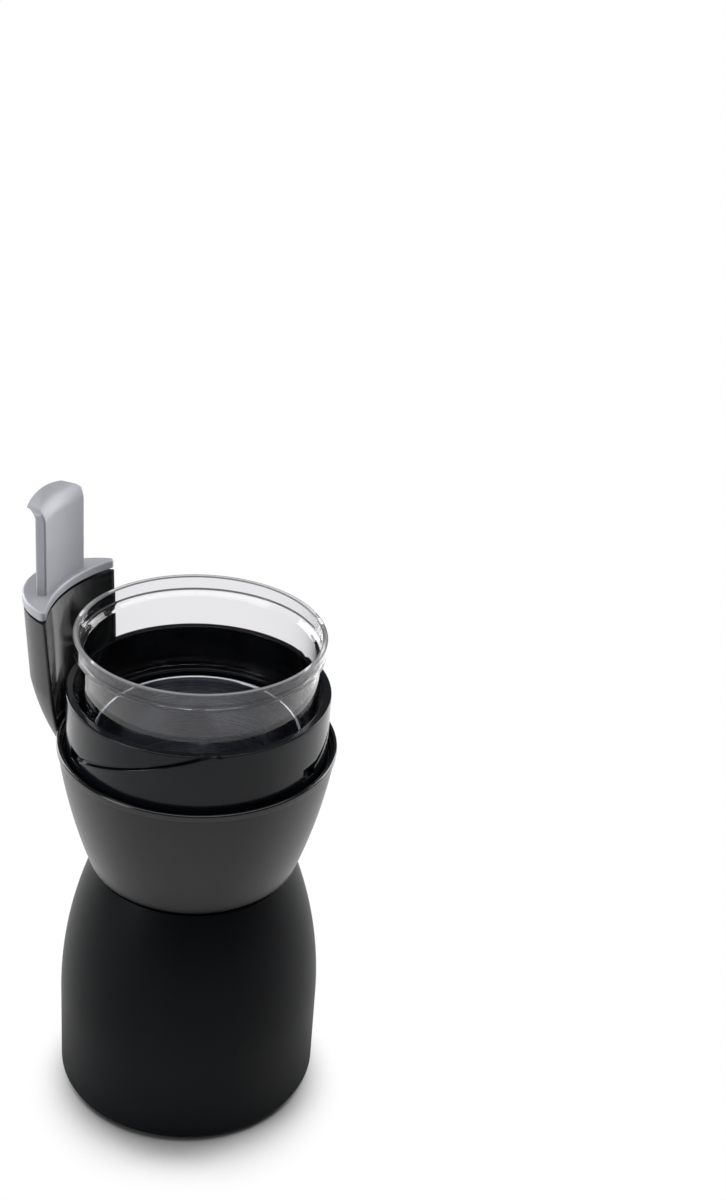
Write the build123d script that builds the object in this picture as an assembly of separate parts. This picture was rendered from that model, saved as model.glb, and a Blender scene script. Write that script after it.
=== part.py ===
from build123d import *
import math
import os

# Electric blade coffee grinder with its lid taken off, in millimetres.
# The origin is on the grinding axis at the surface the grinder stands on, with +Z up.
# The column with the pulse lever stands on the -X side. The cord enters on the +Y side.

# Fits and gaps
running_gap = 0.05
slip_gap = 0.15
free_gap = 0.3
screw_gap = 0.3
touch_gap = 0.1
thread_gap = 0.02
press_gap = 0.02

# Lower housing: a bell that stands just off the table on four feet
housing_lift = 1.5
lower_housing_height = 101.0
bell_flare = 12.8
base_wall_height = 36.0
base_edge_radius = 1.8
waist_setback = 2.3
housing_wall = 2.4
waist_edge_radius = 0.6
flange_drop = 2.0
flange_thickness = 2.5
flange_bore_radius = 18.0

# Upper housing: a bowl that flares from the waist to the mouth
upper_housing_height = 52.1
mouth_reach = 3.1
belly_rise = 29.0
belly_setback = 4.1
shoulder_rise = 4.5
shoulder_setback = 11.1
shoulder_edge_radius = 4.0
seam_gap = 0.3
floor_thickness = 2.5
mouth_wall = 1.9
rabbet_depth = 4.6
ledge_bore_gap = 2.7
ledge_thickness = 2.4

# Glossy rim on the mouth
rim_overhang = 0.5
rim_height = 2.7
rim_bore_setback = 1.2
rim_edge_radius = 0.75

# Lid collar with its three thread ramps
collar_height = 30.0
collar_gap = 2.0
collar_wall = 3.0
collar_foot_thickness = 2.5
collar_edge_bevel = 0.5
shelf_drop = 16.5
shelf_thickness = 2.4
shelf_bore_gap = 2.5
shelf_rib_height = 2.0
riser_height = 3.8
bowl_ledge_gap = 0.6
ramp_count = 3
ramp_depth = 1.6
ramp_opening = 1.8
ramp_pitch = 105.0
ramp_low_angle = 227.0
ramp_low_height = 10.0
pocket_angle = 9.0
pocket_height = 4.8
pocket_drop = 1.8
collar_screw_count = 3
collar_screw_setback = 5.0
collar_screw_length = 8.0
collar_boss_radius = 3.0
collar_boss_height = 8.0
collar_pilot_depth = 7.0
collar_screw_start_angle = 60.0

# Clear hopper ring that lifts out of the collar
hopper_height = 39.9
hopper_seat_width = 3.6
hopper_wall = 1.8
hopper_band_height = 6.4
hopper_band_reach = 2.2
hopper_band_wall = 2.0
hopper_band_step = 1.6

# Steel grinding bowl
bowl_wall = 0.8
bowl_radius = 38.9
bowl_depth = 50.5
bowl_corner_radius = 10.0
bowl_rim_radius = 1.05
bowl_hub_radius = 13.0
bowl_hub_rise = 2.0
bowl_bore_radius = 9.2

# Column that carries the pulse lever
column_height = 24.6
column_foot_drop = 42.0
column_setback = 9.5
column_top_bulge = 27.8
column_neck_bulge = 25.8
column_neck_drop = 6.0
column_knee_bulge = 22.4
column_knee_drop = 19.0
column_foot_bulge = 11.4
column_lean = 3.45
column_tip_radius = 0.7
column_wall = 2.0
column_floor_drop = 22.0
fascia_thickness = 1.6
fascia_inset = 1.7
column_screw_drop = 36.0
column_screw_length = 5.6
column_screw_offset = 5.0

# Pulse lever: a capping plate and an upright paddle in one moulding
lever_gap = 1.5
lever_travel = 1.3
plate_thickness = 3.4
plate_overhang = 0.2
plate_bulge = 28.2
plate_corner_radius = 1.4
plate_edge_radius = 1.0
paddle_height = 37.0
paddle_setback = 2.2
paddle_thickness = 4.1
paddle_half_angle = 13.9
paddle_roll_radius = 7.8
paddle_lip_thickness = 2.8
paddle_arch_radius = 45.0
paddle_corner_radius = 5.0
paddle_half_width = 15.0
tongue_length = 8.0
tongue_width = 6.0
tongue_thickness = 2.0
tongue_spread = 11.0
tongue_setback = 5.5

# Push rod, return spring and switch under the lever
rod_setback = 5.4
rod_radius = 2.0
rod_length = 17.0
spring_coil_radius = 3.0
spring_wire_radius = 0.35
spring_turns = 5
spring_pocket_radius = 3.9
spring_pocket_wall = 1.0
spring_pocket_depth = 13.0
switch_offset = 1.7
switch_length = 12.8
switch_thickness = 5.8
switch_height = 6.5
switch_corner = 0.6
switch_button_height = 1.4
switch_button_width = 2.0
switch_terminal_length = 3.5
switch_terminal_width = 2.2
switch_terminal_thickness = 0.6
switch_terminal_spread = 4.6
bracket_thickness = 1.6

# Base cover, feet and screws
cover_thickness = 2.5
cover_lift = 1.9
vent_count = 8
vent_length = 13.0
vent_width = 3.0
vent_circle = 22.0
foot_count = 4
foot_radius = 6.0
foot_setback = 11.4
foot_recess = 1.0
foot_edge_radius = 0.5
foot_start_angle = 45.0
base_screw_setback = 4.7
base_boss_radius = 5.0
base_boss_height = 12.0
base_screw_seat = 0.9
screw_radius = 1.6
screw_head_radius = 2.9
screw_head_height = 1.8
screw_length = 10.0
drive_radius = 1.1
drive_depth = 0.9

# Cord inlet bush, with no cord in it
cord_height = 17.0
cord_bore_radius = 3.3
bush_radius = 5.0
bush_flange_radius = 6.8
bush_flange_thickness = 1.6
bush_tail_length = 15.0
bush_tail_radius = 4.0
bush_rib_count = 4
bush_rib_pitch = 3.0
bush_rib_width = 1.2
bush_rib_radius = 4.9

# Motor hung from the flange in the waist
mount_height = 5.0
mount_radius = 4.5
motor_screw_circle = 25.0
motor_screw_count = 4
motor_boss_radius = 4.4
motor_boss_height = 7.0
motor_screw_length = 19.0
upper_bracket_radius = 36.0
bracket_plate = 3.0
stator_drop = 14.0
stator_height = 30.0
stator_width = 62.0
stator_corner_radius = 12.0
stator_bore_radius = 18.5
window_radius = 25.5
window_half_angle = 40.0
coil_clearance = 0.4
coil_thickness = 5.6
coil_overhang = 6.0
post_inset = 7.0
post_radius = 4.0
motor_bolt_radius = 1.6
lower_bracket_drop = 19.0
bearing_radius = 7.0
bearing_height = 6.0
bearing_cup_wall = 2.0
air_gap = 0.5
slot_count = 12
slot_width = 3.0
slot_depth = 6.0
armature_core_radius = 9.5
winding_radius = 16.0
winding_height = 4.5
commutator_radius = 9.0
commutator_height = 11.0
commutator_groove = 0.6
fan_radius = 25.0
fan_height = 5.0
fan_hub_radius = 6.0
fan_disc_thickness = 1.2
fan_blade_count = 9
fan_blade_thickness = 1.2
brush_width = 6.0
brush_height = 5.0
brush_length = 14.0
brush_gap = 0.3
holder_wall = 1.2
holder_length = 12.0
holder_setback = 2.0

# Shaft and grinding blade
shaft_radius = 3.0
shaft_chamfer = 0.5
shaft_above_bowl = 15.0
seal_flange_radius = 10.6
seal_flange_thickness = 1.2
blade_lift = 6.0
blade_thickness = 1.5
blade_length = 31.5
blade_flat = 11.0
blade_bend = 26.0
blade_first_rise = 2.6
blade_tip_rise = 5.2
blade_root_width = 13.0
blade_tip_width = 7.0
blade_centre_radius = 9.0
bevel_angle = 35.0
bevel_lift = 1.0
hub_radius = 6.5
nut_width = 10.0
nut_height = 4.0
nut_dome_radius = 5.0

# Radii that follow from the bowl outwards
ledge_for_bowl_radius = bowl_radius + bowl_ledge_gap
shelf_bore_radius = bowl_radius + shelf_bore_gap
ledge_bore_radius = bowl_radius + ledge_bore_gap
hopper_radius = shelf_bore_radius + hopper_seat_width
hopper_band_radius = hopper_radius + hopper_band_reach
collar_radius = hopper_radius + collar_gap + collar_wall
collar_screw_circle = collar_radius - collar_screw_setback
mouth_radius = collar_radius + mouth_reach
belly_radius = mouth_radius - belly_setback
shoulder_radius = mouth_radius - shoulder_setback
rim_radius = mouth_radius + rim_overhang
rim_bore_radius = mouth_radius - rim_bore_setback
waist_radius = shoulder_radius - waist_setback
base_radius = waist_radius + bell_flare
base_screw_circle = base_radius - housing_wall - base_screw_setback
foot_circle = base_screw_circle - foot_setback
column_foot_radius = rim_radius + slip_gap
column_inner_top_radius = column_foot_radius + column_lean
column_axis_offset = mouth_radius - column_setback
plate_inner_radius = column_inner_top_radius - plate_overhang
paddle_front_radius = plate_inner_radius + paddle_setback

# Heights and places that follow from the sizes above
waist_height = housing_lift + lower_housing_height
mouth_height = waist_height + upper_housing_height
bell_curve_start = housing_lift + base_wall_height
flange_top = waist_height - flange_drop
flange_bottom = flange_top - flange_thickness
collar_foot = mouth_height - rabbet_depth
collar_top = collar_foot + collar_height
shelf_height = collar_top - shelf_drop
shelf_bottom = shelf_height - shelf_thickness
bowl_seat = shelf_bottom - riser_height + shelf_thickness
bowl_rim_height = bowl_seat + 2 * bowl_rim_radius
bowl_floor = bowl_rim_height - bowl_depth
column_top = collar_top + column_height
plate_bottom = column_top + lever_gap
plate_top = plate_bottom + plate_thickness
paddle_top = plate_top + paddle_height
motor_plate_top = flange_bottom - mount_height
motor_plate_bottom = motor_plate_top - bracket_plate
stator_top = motor_plate_bottom - stator_drop
stator_bottom = stator_top - stator_height
lower_plate_top = stator_bottom - lower_bracket_drop
lower_plate_bottom = lower_plate_top - bracket_plate
cover_top = cover_lift + cover_thickness
post_offset = stator_width / 2 - post_inset
rod_place_radius = column_inner_top_radius + rod_setback
tongue_radius = plate_inner_radius + tongue_setback
hub_top = bowl_floor + bowl_hub_rise
blade_height = hub_top + blade_lift
shaft_top = hub_top + shaft_above_bowl
rod_bottom = plate_bottom - rod_length
switch_top = rod_bottom - switch_button_height
column_floor = collar_top - column_floor_drop


def circle_through(first, second, third):
    """Centre and radius of the circle through three (radius, height) points."""
    (x1, y1), (x2, y2), (x3, y3) = first, second, third
    a, b = x2 - x1, y2 - y1
    c, d = x3 - x1, y3 - y1
    e = (x2**2 - x1**2 + y2**2 - y1**2) / 2
    f = (x3**2 - x1**2 + y3**2 - y1**2) / 2
    x = (e * d - b * f) / (a * d - b * c)
    y = (a * f - e * c) / (a * d - b * c)
    return x, y, math.hypot(x1 - x, y1 - y)


bell_drop = waist_height - bell_curve_start
bell_taper = base_radius - waist_radius
bell_arc = (bell_drop**2 + bell_taper**2) / (2 * bell_taper)
shell_x, shell_y, shell_arc = circle_through(
    (mouth_radius, mouth_height),
    (belly_radius, waist_height + belly_rise),
    (shoulder_radius, waist_height + shoulder_rise),
)


def bell_radius(height, inset=0.0):
    """Radius of the lower housing at a height, in from its outer face by inset."""
    rise = max(height - bell_curve_start, 0.0)
    return base_radius - bell_arc + math.sqrt((bell_arc - inset)**2 - rise**2)


def shell_radius(height, inset=0.0):
    """Radius of the upper housing at a height, in from its outer face by inset."""
    return shell_x + math.sqrt((shell_arc - inset)**2 - (height - shell_y)**2)


def column_inner_radius(height):
    """Radius of the column's concave face, which leans out as it rises."""
    rise = (height - mouth_height) / (column_top - mouth_height)
    return column_foot_radius + column_lean * rise


def curve(radius_at, low, high, inset=0.0):
    """Arc in the (radius, height) plane that follows radius_at from low to high."""
    middle = (low + high) / 2
    places = [(radius_at(z, inset), z) for z in (low, middle, high)]
    return ThreePointArc(*places)


def corner(face, radius, *places):
    """Round a face's corners nearest to the given (x, y) places."""
    for place in places:
        nearest = face.vertices().sort_by_distance((place[0], place[1], 0))[:1]
        face = fillet(nearest, radius)
    return face


def turned(face):
    """Turn a face drawn in (radius, height) about the vertical axis."""
    return revolve(Plane.XZ * face, Axis.Z)


def ring(inner, outer, low, high):
    """Flat-ended ring, or a disc when inner is zero."""
    face = Circle(outer)
    if inner:
        face -= Circle(inner)
    return extrude(Pos(0, 0, low) * face, high - low)


def polar(radius, angle):
    """Point in plan at a radius and an angle in degrees."""
    return radius * math.cos(math.radians(angle)), radius * math.sin(math.radians(angle))


def sector(inner, outer, low, high, start, end):
    """Part of a ring between two angles in degrees."""
    middle = (start + end) / 2
    near = [polar(inner, start), polar(inner, middle), polar(inner, end)]
    far = [polar(outer, end), polar(outer, middle), polar(outer, start)]
    outline = ThreePointArc(*near) + Line(near[-1], far[0]) + ThreePointArc(*far) + Line(far[-1], near[0])
    return extrude(Pos(0, 0, low) * make_face(outline), high - low)


def around(shape, count, start=0.0):
    """Copies of a shape, evenly spaced about the vertical axis."""
    return [Rot(0, 0, start + 360 * step / count) * shape for step in range(count)]


def joined(shapes):
    """One compound of separate solids."""
    solids = []
    for shape in shapes:
        solids.extend(shape.solids())
    return Compound(children=solids)


def screw(head_height, head_radius, shank_radius, length):
    """Pan-head screw with its tip up: the head's seat is at the origin."""
    head = Pos(0, 0, -head_height) * extrude(Circle(head_radius), head_height)
    head = fillet(head.edges().sort_by(Axis.Z)[:1], head_height / 2)
    body = head + extrude(Circle(shank_radius), length)
    drive = Rectangle(2 * drive_radius, drive_radius / 2)
    drive += Rectangle(drive_radius / 2, 2 * drive_radius)
    return body - Pos(0, 0, -head_height) * extrude(drive, drive_depth)


def lower_housing():
    """Bell shell with the waist flange, base screw bosses and the cord hole."""
    low = housing_lift
    inner = base_radius - housing_wall
    outline = Line((inner, low), (base_radius, low))
    outline += Line((base_radius, low), (base_radius, bell_curve_start))
    outline += curve(bell_radius, bell_curve_start, waist_height)
    outline += Line((waist_radius, waist_height), (bell_radius(waist_height, housing_wall), waist_height))
    outline += curve(bell_radius, waist_height, bell_curve_start, housing_wall)
    outline += Line((inner, bell_curve_start), (inner, low))
    face = make_face(outline)
    face = corner(face, base_edge_radius, (base_radius, low))
    face = corner(face, waist_edge_radius, (waist_radius, waist_height))
    shell = turned(face)
    flange_reach = bell_radius(flange_top, housing_wall / 2)
    shell += ring(flange_bore_radius, flange_reach, flange_bottom, flange_top)
    boss = Pos(base_screw_circle, 0, 0) * ring(0, base_boss_radius, cover_top, cover_top + base_boss_height)
    boss &= ring(0, base_radius - housing_wall / 2, cover_top, cover_top + base_boss_height)
    for copy in around(boss, foot_count, foot_start_angle):
        shell += copy
    pilot = Pos(base_screw_circle, 0, 0) * ring(0, screw_radius, cover_top, cover_top + screw_length)
    hole = Pos(motor_screw_circle, 0, 0) * ring(0, screw_radius + screw_gap, flange_bottom, flange_top)
    for copy in around(pilot, foot_count, foot_start_angle) + around(hole, motor_screw_count):
        shell -= copy
    cord_hole = Rot(-90, 0, 0) * extrude(Circle(bush_radius + touch_gap), 2 * base_radius)
    return shell - Pos(0, 0, cord_height) * cord_hole


def upper_housing():
    """Bowl-shaped shell whose neck plugs into the waist, with motor bosses and a seal tower."""
    shoulder = waist_height + seam_gap
    deck = shoulder + housing_wall
    neck = bell_radius(waist_height, housing_wall) - slip_gap
    rabbet = mouth_radius - mouth_wall
    ledge_bottom = collar_foot - ledge_thickness
    root = shell_radius(shoulder)
    outline = Polyline((0, flange_top), (neck, flange_top), (neck, shoulder), (root, shoulder))
    outline += curve(shell_radius, shoulder, mouth_height)
    outline += Polyline(
        (mouth_radius, mouth_height),
        (rabbet, mouth_height),
        (rabbet, collar_foot),
        (ledge_bore_radius, collar_foot),
        (ledge_bore_radius, ledge_bottom),
        (shell_radius(ledge_bottom, housing_wall), ledge_bottom),
    )
    outline += curve(shell_radius, ledge_bottom, deck, housing_wall)
    outline += Polyline(
        (shell_radius(deck, housing_wall), deck),
        (neck - housing_wall, deck),
        (neck - housing_wall, flange_top + floor_thickness),
        (0, flange_top + floor_thickness),
        (0, flange_top),
    )
    face = corner(make_face(outline), shoulder_edge_radius, (root, shoulder))
    shell = turned(face)
    floor_top = flange_top + floor_thickness
    tower_top = hub_top - bowl_wall - touch_gap
    shell += ring(0, bowl_hub_radius - 2 * bowl_wall - slip_gap, floor_top, tower_top)
    shell -= ring(0, bowl_bore_radius - touch_gap, flange_top, tower_top)
    shell += ring(shaft_radius + free_gap, bowl_bore_radius, flange_top, floor_top)
    boss = ring(0, motor_boss_radius, floor_top, floor_top + motor_boss_height)
    for copy in around(Pos(motor_screw_circle, 0, 0) * boss, motor_screw_count):
        shell += copy
    pilot = Pos(motor_screw_circle, 0, 0) * ring(0, screw_radius, flange_top, floor_top + motor_boss_height)
    lug_hole = Pos(collar_screw_circle, 0, 0) * ring(0, screw_radius + screw_gap, ledge_bottom, collar_foot)
    holes = around(pilot, motor_screw_count)
    holes += around(lug_hole, collar_screw_count, collar_screw_start_angle)
    holes += [place * column_screw_bore(screw_radius + screw_gap) for place in column_screw_places()]
    for hole in holes:
        shell -= hole
    return shell


def rim_ring():
    """Rounded glossy ring that caps the upper housing's mouth."""
    top = mouth_height + rim_height
    points = [
        (rim_bore_radius, mouth_height),
        (rim_radius, mouth_height),
        (rim_radius, top),
        (rim_bore_radius, top),
    ]
    face = make_face(Polyline(*points, close=True))
    return turned(corner(face, rim_edge_radius, *points[2:]))


def ramp_tool():
    """Twisted cutter for one thread ramp, with the pocket that its low end opens into."""
    outer = collar_radius + ramp_depth
    inner = collar_radius - ramp_depth
    low = collar_foot + ramp_low_height
    rise = collar_top - low + ramp_opening
    turn = 360 * rise / ramp_pitch
    width = 360 * ramp_opening / ramp_pitch
    face = sector(inner, outer, 0, 1, ramp_low_angle, ramp_low_angle + width).faces().sort_by(Axis.Z)[0]
    thread = Solid.extrude_linear_with_rotation(Pos(0, 0, low) * face, (0, 0, low), (0, 0, rise), turn)
    pocket_low = low - pocket_drop
    pocket_high = pocket_low + pocket_height
    pocket = sector(inner, outer, pocket_low, pocket_high, ramp_low_angle, ramp_low_angle + pocket_angle)
    return thread, pocket


def lid_collar():
    """Collar that takes the lid: three thread ramps outside, hopper shelf and bowl seat inside."""
    inner = collar_radius - collar_wall
    foot_reach = mouth_radius - mouth_wall - slip_gap
    foot_top = collar_foot + collar_foot_thickness
    rib_inner = hopper_radius + free_gap
    points = [
        (inner, collar_foot),
        (foot_reach, collar_foot),
        (foot_reach, foot_top),
        (collar_radius, foot_top),
        (collar_radius, collar_top),
        (inner, collar_top),
        (inner, shelf_height + shelf_rib_height),
        (rib_inner, shelf_height + shelf_rib_height),
        (rib_inner, shelf_height),
        (shelf_bore_radius, shelf_height),
        (shelf_bore_radius, bowl_seat),
        (ledge_for_bowl_radius, bowl_seat),
        (ledge_for_bowl_radius, bowl_seat - shelf_thickness),
        (shelf_bore_radius + shelf_thickness, bowl_seat - shelf_thickness),
        (shelf_bore_radius + shelf_thickness, shelf_bottom),
        (inner, shelf_bottom),
    ]
    face = make_face(Polyline(*points, close=True))
    edges = [face.vertices().sort_by_distance((*point, 0))[0] for point in points[4:6]]
    collar = turned(chamfer(edges, collar_edge_bevel))
    place = Pos(collar_screw_circle, 0, collar_foot)
    boss = place * ring(0, collar_boss_radius, 0, collar_boss_height)
    for copy in around(boss, collar_screw_count, collar_screw_start_angle):
        collar += copy
    pilot = place * ring(0, screw_radius, 0, collar_pilot_depth)
    for copy in around(pilot, collar_screw_count, collar_screw_start_angle):
        collar -= copy
    for cutter in ramp_tool():
        for copy in around(cutter, ramp_count):
            collar -= copy
    return collar


def clear_hopper_ring():
    """Clear wall above the bowl, with a wider band round its top."""
    top = shelf_height + hopper_height
    step = top - hopper_band_height
    inner = hopper_radius - hopper_wall
    band_inner = hopper_band_radius - hopper_band_wall
    points = [
        (inner, shelf_height),
        (hopper_radius, shelf_height),
        (hopper_radius, step - hopper_band_step),
        (hopper_band_radius, step),
        (hopper_band_radius, top),
        (band_inner, top),
        (band_inner, step),
        (inner, step - hopper_band_step),
    ]
    face = make_face(Polyline(*points, close=True))
    face = corner(face, hopper_band_wall / 4, points[4], points[5])
    return turned(face)


def grinding_bowl():
    """Drawn steel bowl: rolled rim, round bottom corner and a raised hub with the shaft bore."""
    low = bowl_floor
    inner = bowl_radius - bowl_wall
    rim = bowl_rim_height - bowl_rim_radius
    outline = Polyline(
        (bowl_bore_radius, hub_top),
        (bowl_hub_radius - bowl_wall, hub_top),
        (bowl_hub_radius, low),
        (inner, low),
        (inner, rim),
        (bowl_radius, rim),
        (bowl_radius, low - bowl_wall),
        (bowl_hub_radius - bowl_wall, low - bowl_wall),
        (bowl_hub_radius - 2 * bowl_wall, hub_top - bowl_wall),
        (bowl_bore_radius, hub_top - bowl_wall),
        (bowl_bore_radius, hub_top),
    )
    face = make_face(outline)
    face = corner(face, bowl_corner_radius, (inner, low))
    face = corner(face, bowl_corner_radius + bowl_wall, (bowl_radius, low - bowl_wall))
    rolled = Pos(bowl_radius + bowl_rim_radius - bowl_wall, rim) * Circle(bowl_rim_radius)
    return turned(face + rolled)


def shaft_seal():
    """Flanged seal that clamps the bowl's hub and closes the gap round the shaft."""
    low = hub_top - bowl_wall - bearing_height
    body = ring(shaft_radius + running_gap, bowl_bore_radius - slip_gap, low, hub_top)
    flange = ring(shaft_radius + running_gap, seal_flange_radius, hub_top, hub_top + seal_flange_thickness)
    return body + flange


def column_form(inset=0.0):
    """Round outer form of the column, turned about its own axis, in from its outer face by inset."""
    foot = collar_top - column_foot_drop
    neck = collar_top - column_neck_drop
    knee = collar_top - column_knee_drop
    outline = Polyline((0, column_top), (0, foot), (column_foot_bulge - inset, foot))
    outline += ThreePointArc(
        (column_foot_bulge - inset, foot),
        (column_knee_bulge - inset, knee),
        (column_neck_bulge - inset, neck),
    )
    outline += Line((column_neck_bulge - inset, neck), (column_top_bulge - inset, column_top))
    outline += Line((column_top_bulge - inset, column_top), (0, column_top))
    return Pos(-column_axis_offset, 0, 0) * turned(make_face(outline))


def inside_column(offset):
    """Everything nearer the axis than the column's concave face, moved outwards by offset."""
    foot = collar_top - column_foot_drop - 1
    gap = touch_gap + offset
    top = column_top + 1
    outline = Line((0, foot), (shell_radius(foot) + gap, foot))
    middle = (foot + mouth_height) / 2
    outline += ThreePointArc(
        (shell_radius(foot) + gap, foot),
        (shell_radius(middle) + gap, middle),
        (shell_radius(mouth_height) + gap, mouth_height),
    )
    outline += Polyline(
        (shell_radius(mouth_height) + gap, mouth_height),
        (column_inner_radius(mouth_height) + offset, mouth_height),
        (column_inner_radius(top) + offset, top),
        (0, top),
        (0, foot),
    )
    return turned(make_face(outline))


def rod_bore(radius, low, high):
    """Vertical cylinder on the push rod's axis."""
    return Pos(-rod_place_radius, 0, 0) * ring(0, radius, low, high)


def lever_tongues(gap, length):
    """Two flat tongues under the lever that keep it from turning, grown by gap."""
    tongues = []
    for side in (-1, 1):
        box = Box(
            tongue_thickness + 2 * gap,
            tongue_width + 2 * gap,
            length,
            align=(Align.CENTER, Align.CENTER, Align.MAX),
        )
        tongues.append(Pos(-tongue_radius, side * tongue_spread, plate_bottom) * box)
    return tongues


def column_screw_seat():
    """Radius at which the column screws' heads just clear the upper housing's curved wall."""
    wall = shell_radius(collar_top - column_screw_drop - screw_head_radius, housing_wall)
    return math.sqrt(wall**2 - (column_screw_offset + screw_head_radius)**2) - touch_gap


def column_screw_places():
    """Places of the column screws, side by side across the column's root."""
    height = collar_top - column_screw_drop
    return [Pos(0, side * column_screw_offset, height) for side in (-1, 1)]


def column_screw_bore(radius):
    """Radial bore for a column screw, from its seat to just past its tip."""
    bore = extrude(Circle(radius), column_screw_length + touch_gap)
    return Pos(-column_screw_seat(), 0, 0) * (Rot(0, -90, 0) * bore)


def column_shell():
    """Satin crescent-shaped shell, open towards the bowl, with the lever's guide and spring pocket."""
    reach = 2 * mouth_radius
    deck = column_top - column_wall
    shell = column_form() - inside_column(0)
    edges = shell.edges().filter_by(lambda edge: abs((edge @ 1).Z - (edge @ 0).Z) > column_neck_drop)
    tips = [edge for edge in edges if min((edge @ 0).Z, (edge @ 1).Z) > mouth_height - slip_gap]
    shell = fillet(tips, column_tip_radius)
    shell -= column_form(column_wall) & ring(0, reach, column_floor, deck)
    pocket_low = column_top - spring_pocket_depth
    shell += rod_bore(spring_pocket_radius + spring_pocket_wall, pocket_low, deck)
    shell -= rod_bore(spring_pocket_radius, pocket_low + spring_pocket_wall, column_top)
    shell -= rod_bore(rod_radius + slip_gap, pocket_low, column_top)
    for tongue in lever_tongues(slip_gap, tongue_length + lever_travel + free_gap):
        shell -= tongue
    window = column_form(fascia_inset) & ring(0, reach, mouth_height, column_top)
    shell -= inside_column(fascia_thickness) & window
    for place in column_screw_places():
        shell -= place * column_screw_bore(screw_radius)
    return shell


def column_fascia():
    """Glossy concave panel set inside the shell's edges, facing the bowl."""
    panel = column_form(fascia_inset + slip_gap) & ring(0, 2 * mouth_radius, mouth_height, column_top)
    panel &= inside_column(fascia_thickness - touch_gap)
    return panel - inside_column(0)


def pulse_lever():
    """Capping plate with its upright thumb paddle, whose top rolls outwards."""
    plan = Pos(-column_axis_offset, 0) * Circle(plate_bulge) - Circle(plate_inner_radius)
    plan = fillet(plan.vertices(), plate_corner_radius)
    plate = extrude(Pos(0, 0, plate_bottom) * plan, plate_thickness)
    plate = fillet(plate.faces().sort_by(Axis.Z)[-1].edges(), plate_edge_radius)
    front = paddle_front_radius
    back = front + paddle_thickness
    lip = front + paddle_roll_radius
    roll = paddle_top - paddle_roll_radius
    lip_low = paddle_top - paddle_lip_thickness
    low = plate_bottom + plate_thickness / 2
    outline = Line((front, low), (front, roll))
    outline += RadiusArc((front, roll), (lip, paddle_top), paddle_roll_radius)
    outline += Line((lip, paddle_top), (lip, lip_low))
    outline += RadiusArc((lip, lip_low), (back, lip_low - (lip - back)), -(lip - back))
    outline += Polyline((back, lip_low - (lip - back)), (back, low), (front, low))
    paddle = revolve(Plane.XZ * make_face(outline), Axis.Z, 2 * paddle_half_angle)
    paddle = Rot(0, 0, 180 - paddle_half_angle) * paddle
    paddle = fillet(paddle.edges().filter_by(Axis.Z), paddle_lip_thickness / 3)
    arch = Pos(0, (low + paddle_top) / 2) * Rectangle(2 * paddle_half_width, paddle_top - low)
    arch &= Pos(0, paddle_top - paddle_arch_radius) * Circle(paddle_arch_radius)
    arch = fillet(arch.vertices().sort_by(Axis.Y)[-2:], paddle_corner_radius)
    paddle &= extrude(Plane.YZ * arch, -2 * mouth_radius)
    lever = plate + paddle
    for tongue in lever_tongues(0, tongue_length):
        lever += tongue
    return lever


def coil(coil_radius, wire_radius, length, turns):
    """Open helical spring that starts at the origin and rises by length."""
    free = length - 2 * wire_radius
    path = Pos(0, 0, wire_radius) * Helix(free / turns, free, coil_radius)
    wire = Plane(origin=path @ 0, z_dir=path % 0) * Circle(wire_radius)
    return sweep(wire, path)


def lever_return_spring():
    """Spring round the push rod, from the pocket's floor to the plate."""
    low = column_top - spring_pocket_depth + spring_pocket_wall
    spring = coil(spring_coil_radius, spring_wire_radius, plate_bottom - low, spring_turns)
    return Pos(-rod_place_radius, 0, low) * spring


def switch_place(height):
    """Place on the switch's own axis, a little inwards of the push rod."""
    return Pos(-(rod_place_radius - switch_offset), 0, height)


def switch_body():
    """Microswitch with its button bore and three terminals."""
    box = Box(switch_thickness, switch_length, switch_height, align=(Align.CENTER, Align.CENTER, Align.MAX))
    body = chamfer(box.edges().filter_by(Axis.X), switch_corner)
    side = switch_button_width + 2 * slip_gap
    body -= Box(side, side, 2 * lever_travel, align=(Align.CENTER, Align.CENTER, Align.MAX))
    for place in terminal_places():
        body += place * Box(
            switch_terminal_thickness,
            switch_terminal_width,
            switch_terminal_length,
            align=(Align.CENTER, Align.CENTER, Align.MAX),
        )
    return switch_place(switch_top) * body


def terminal_places():
    """Places of the switch's terminals under its body."""
    return [Pos(0, side * switch_terminal_spread, -switch_height) for side in (-1, 0, 1)]


def switch_button():
    """Button of the microswitch, which the push rod rests on."""
    side = switch_button_width
    tall = switch_button_height + lever_travel / 2
    button = Box(side, side, tall, align=(Align.CENTER, Align.CENTER, Align.MAX))
    return switch_place(rod_bottom) * button


def switch_bracket():
    """Shelf inside the column that the microswitch stands on, with holes for its terminals."""
    low = switch_top - switch_height
    inner = column_inner_radius(low) + fascia_thickness + touch_gap
    spread = math.degrees((switch_length / 2 + bracket_thickness) / inner)
    shelf = sector(inner, 2 * inner, low - bracket_thickness, low, 180 - spread, 180 + spread)
    shelf &= column_form(column_wall + touch_gap)
    hole_length = switch_terminal_width + 2 * slip_gap
    hole = Box(switch_terminal_thickness + 2 * slip_gap, hole_length, 3 * bracket_thickness)
    for place in terminal_places():
        shelf -= switch_place(switch_top) * (place * hole)
    return shelf


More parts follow.
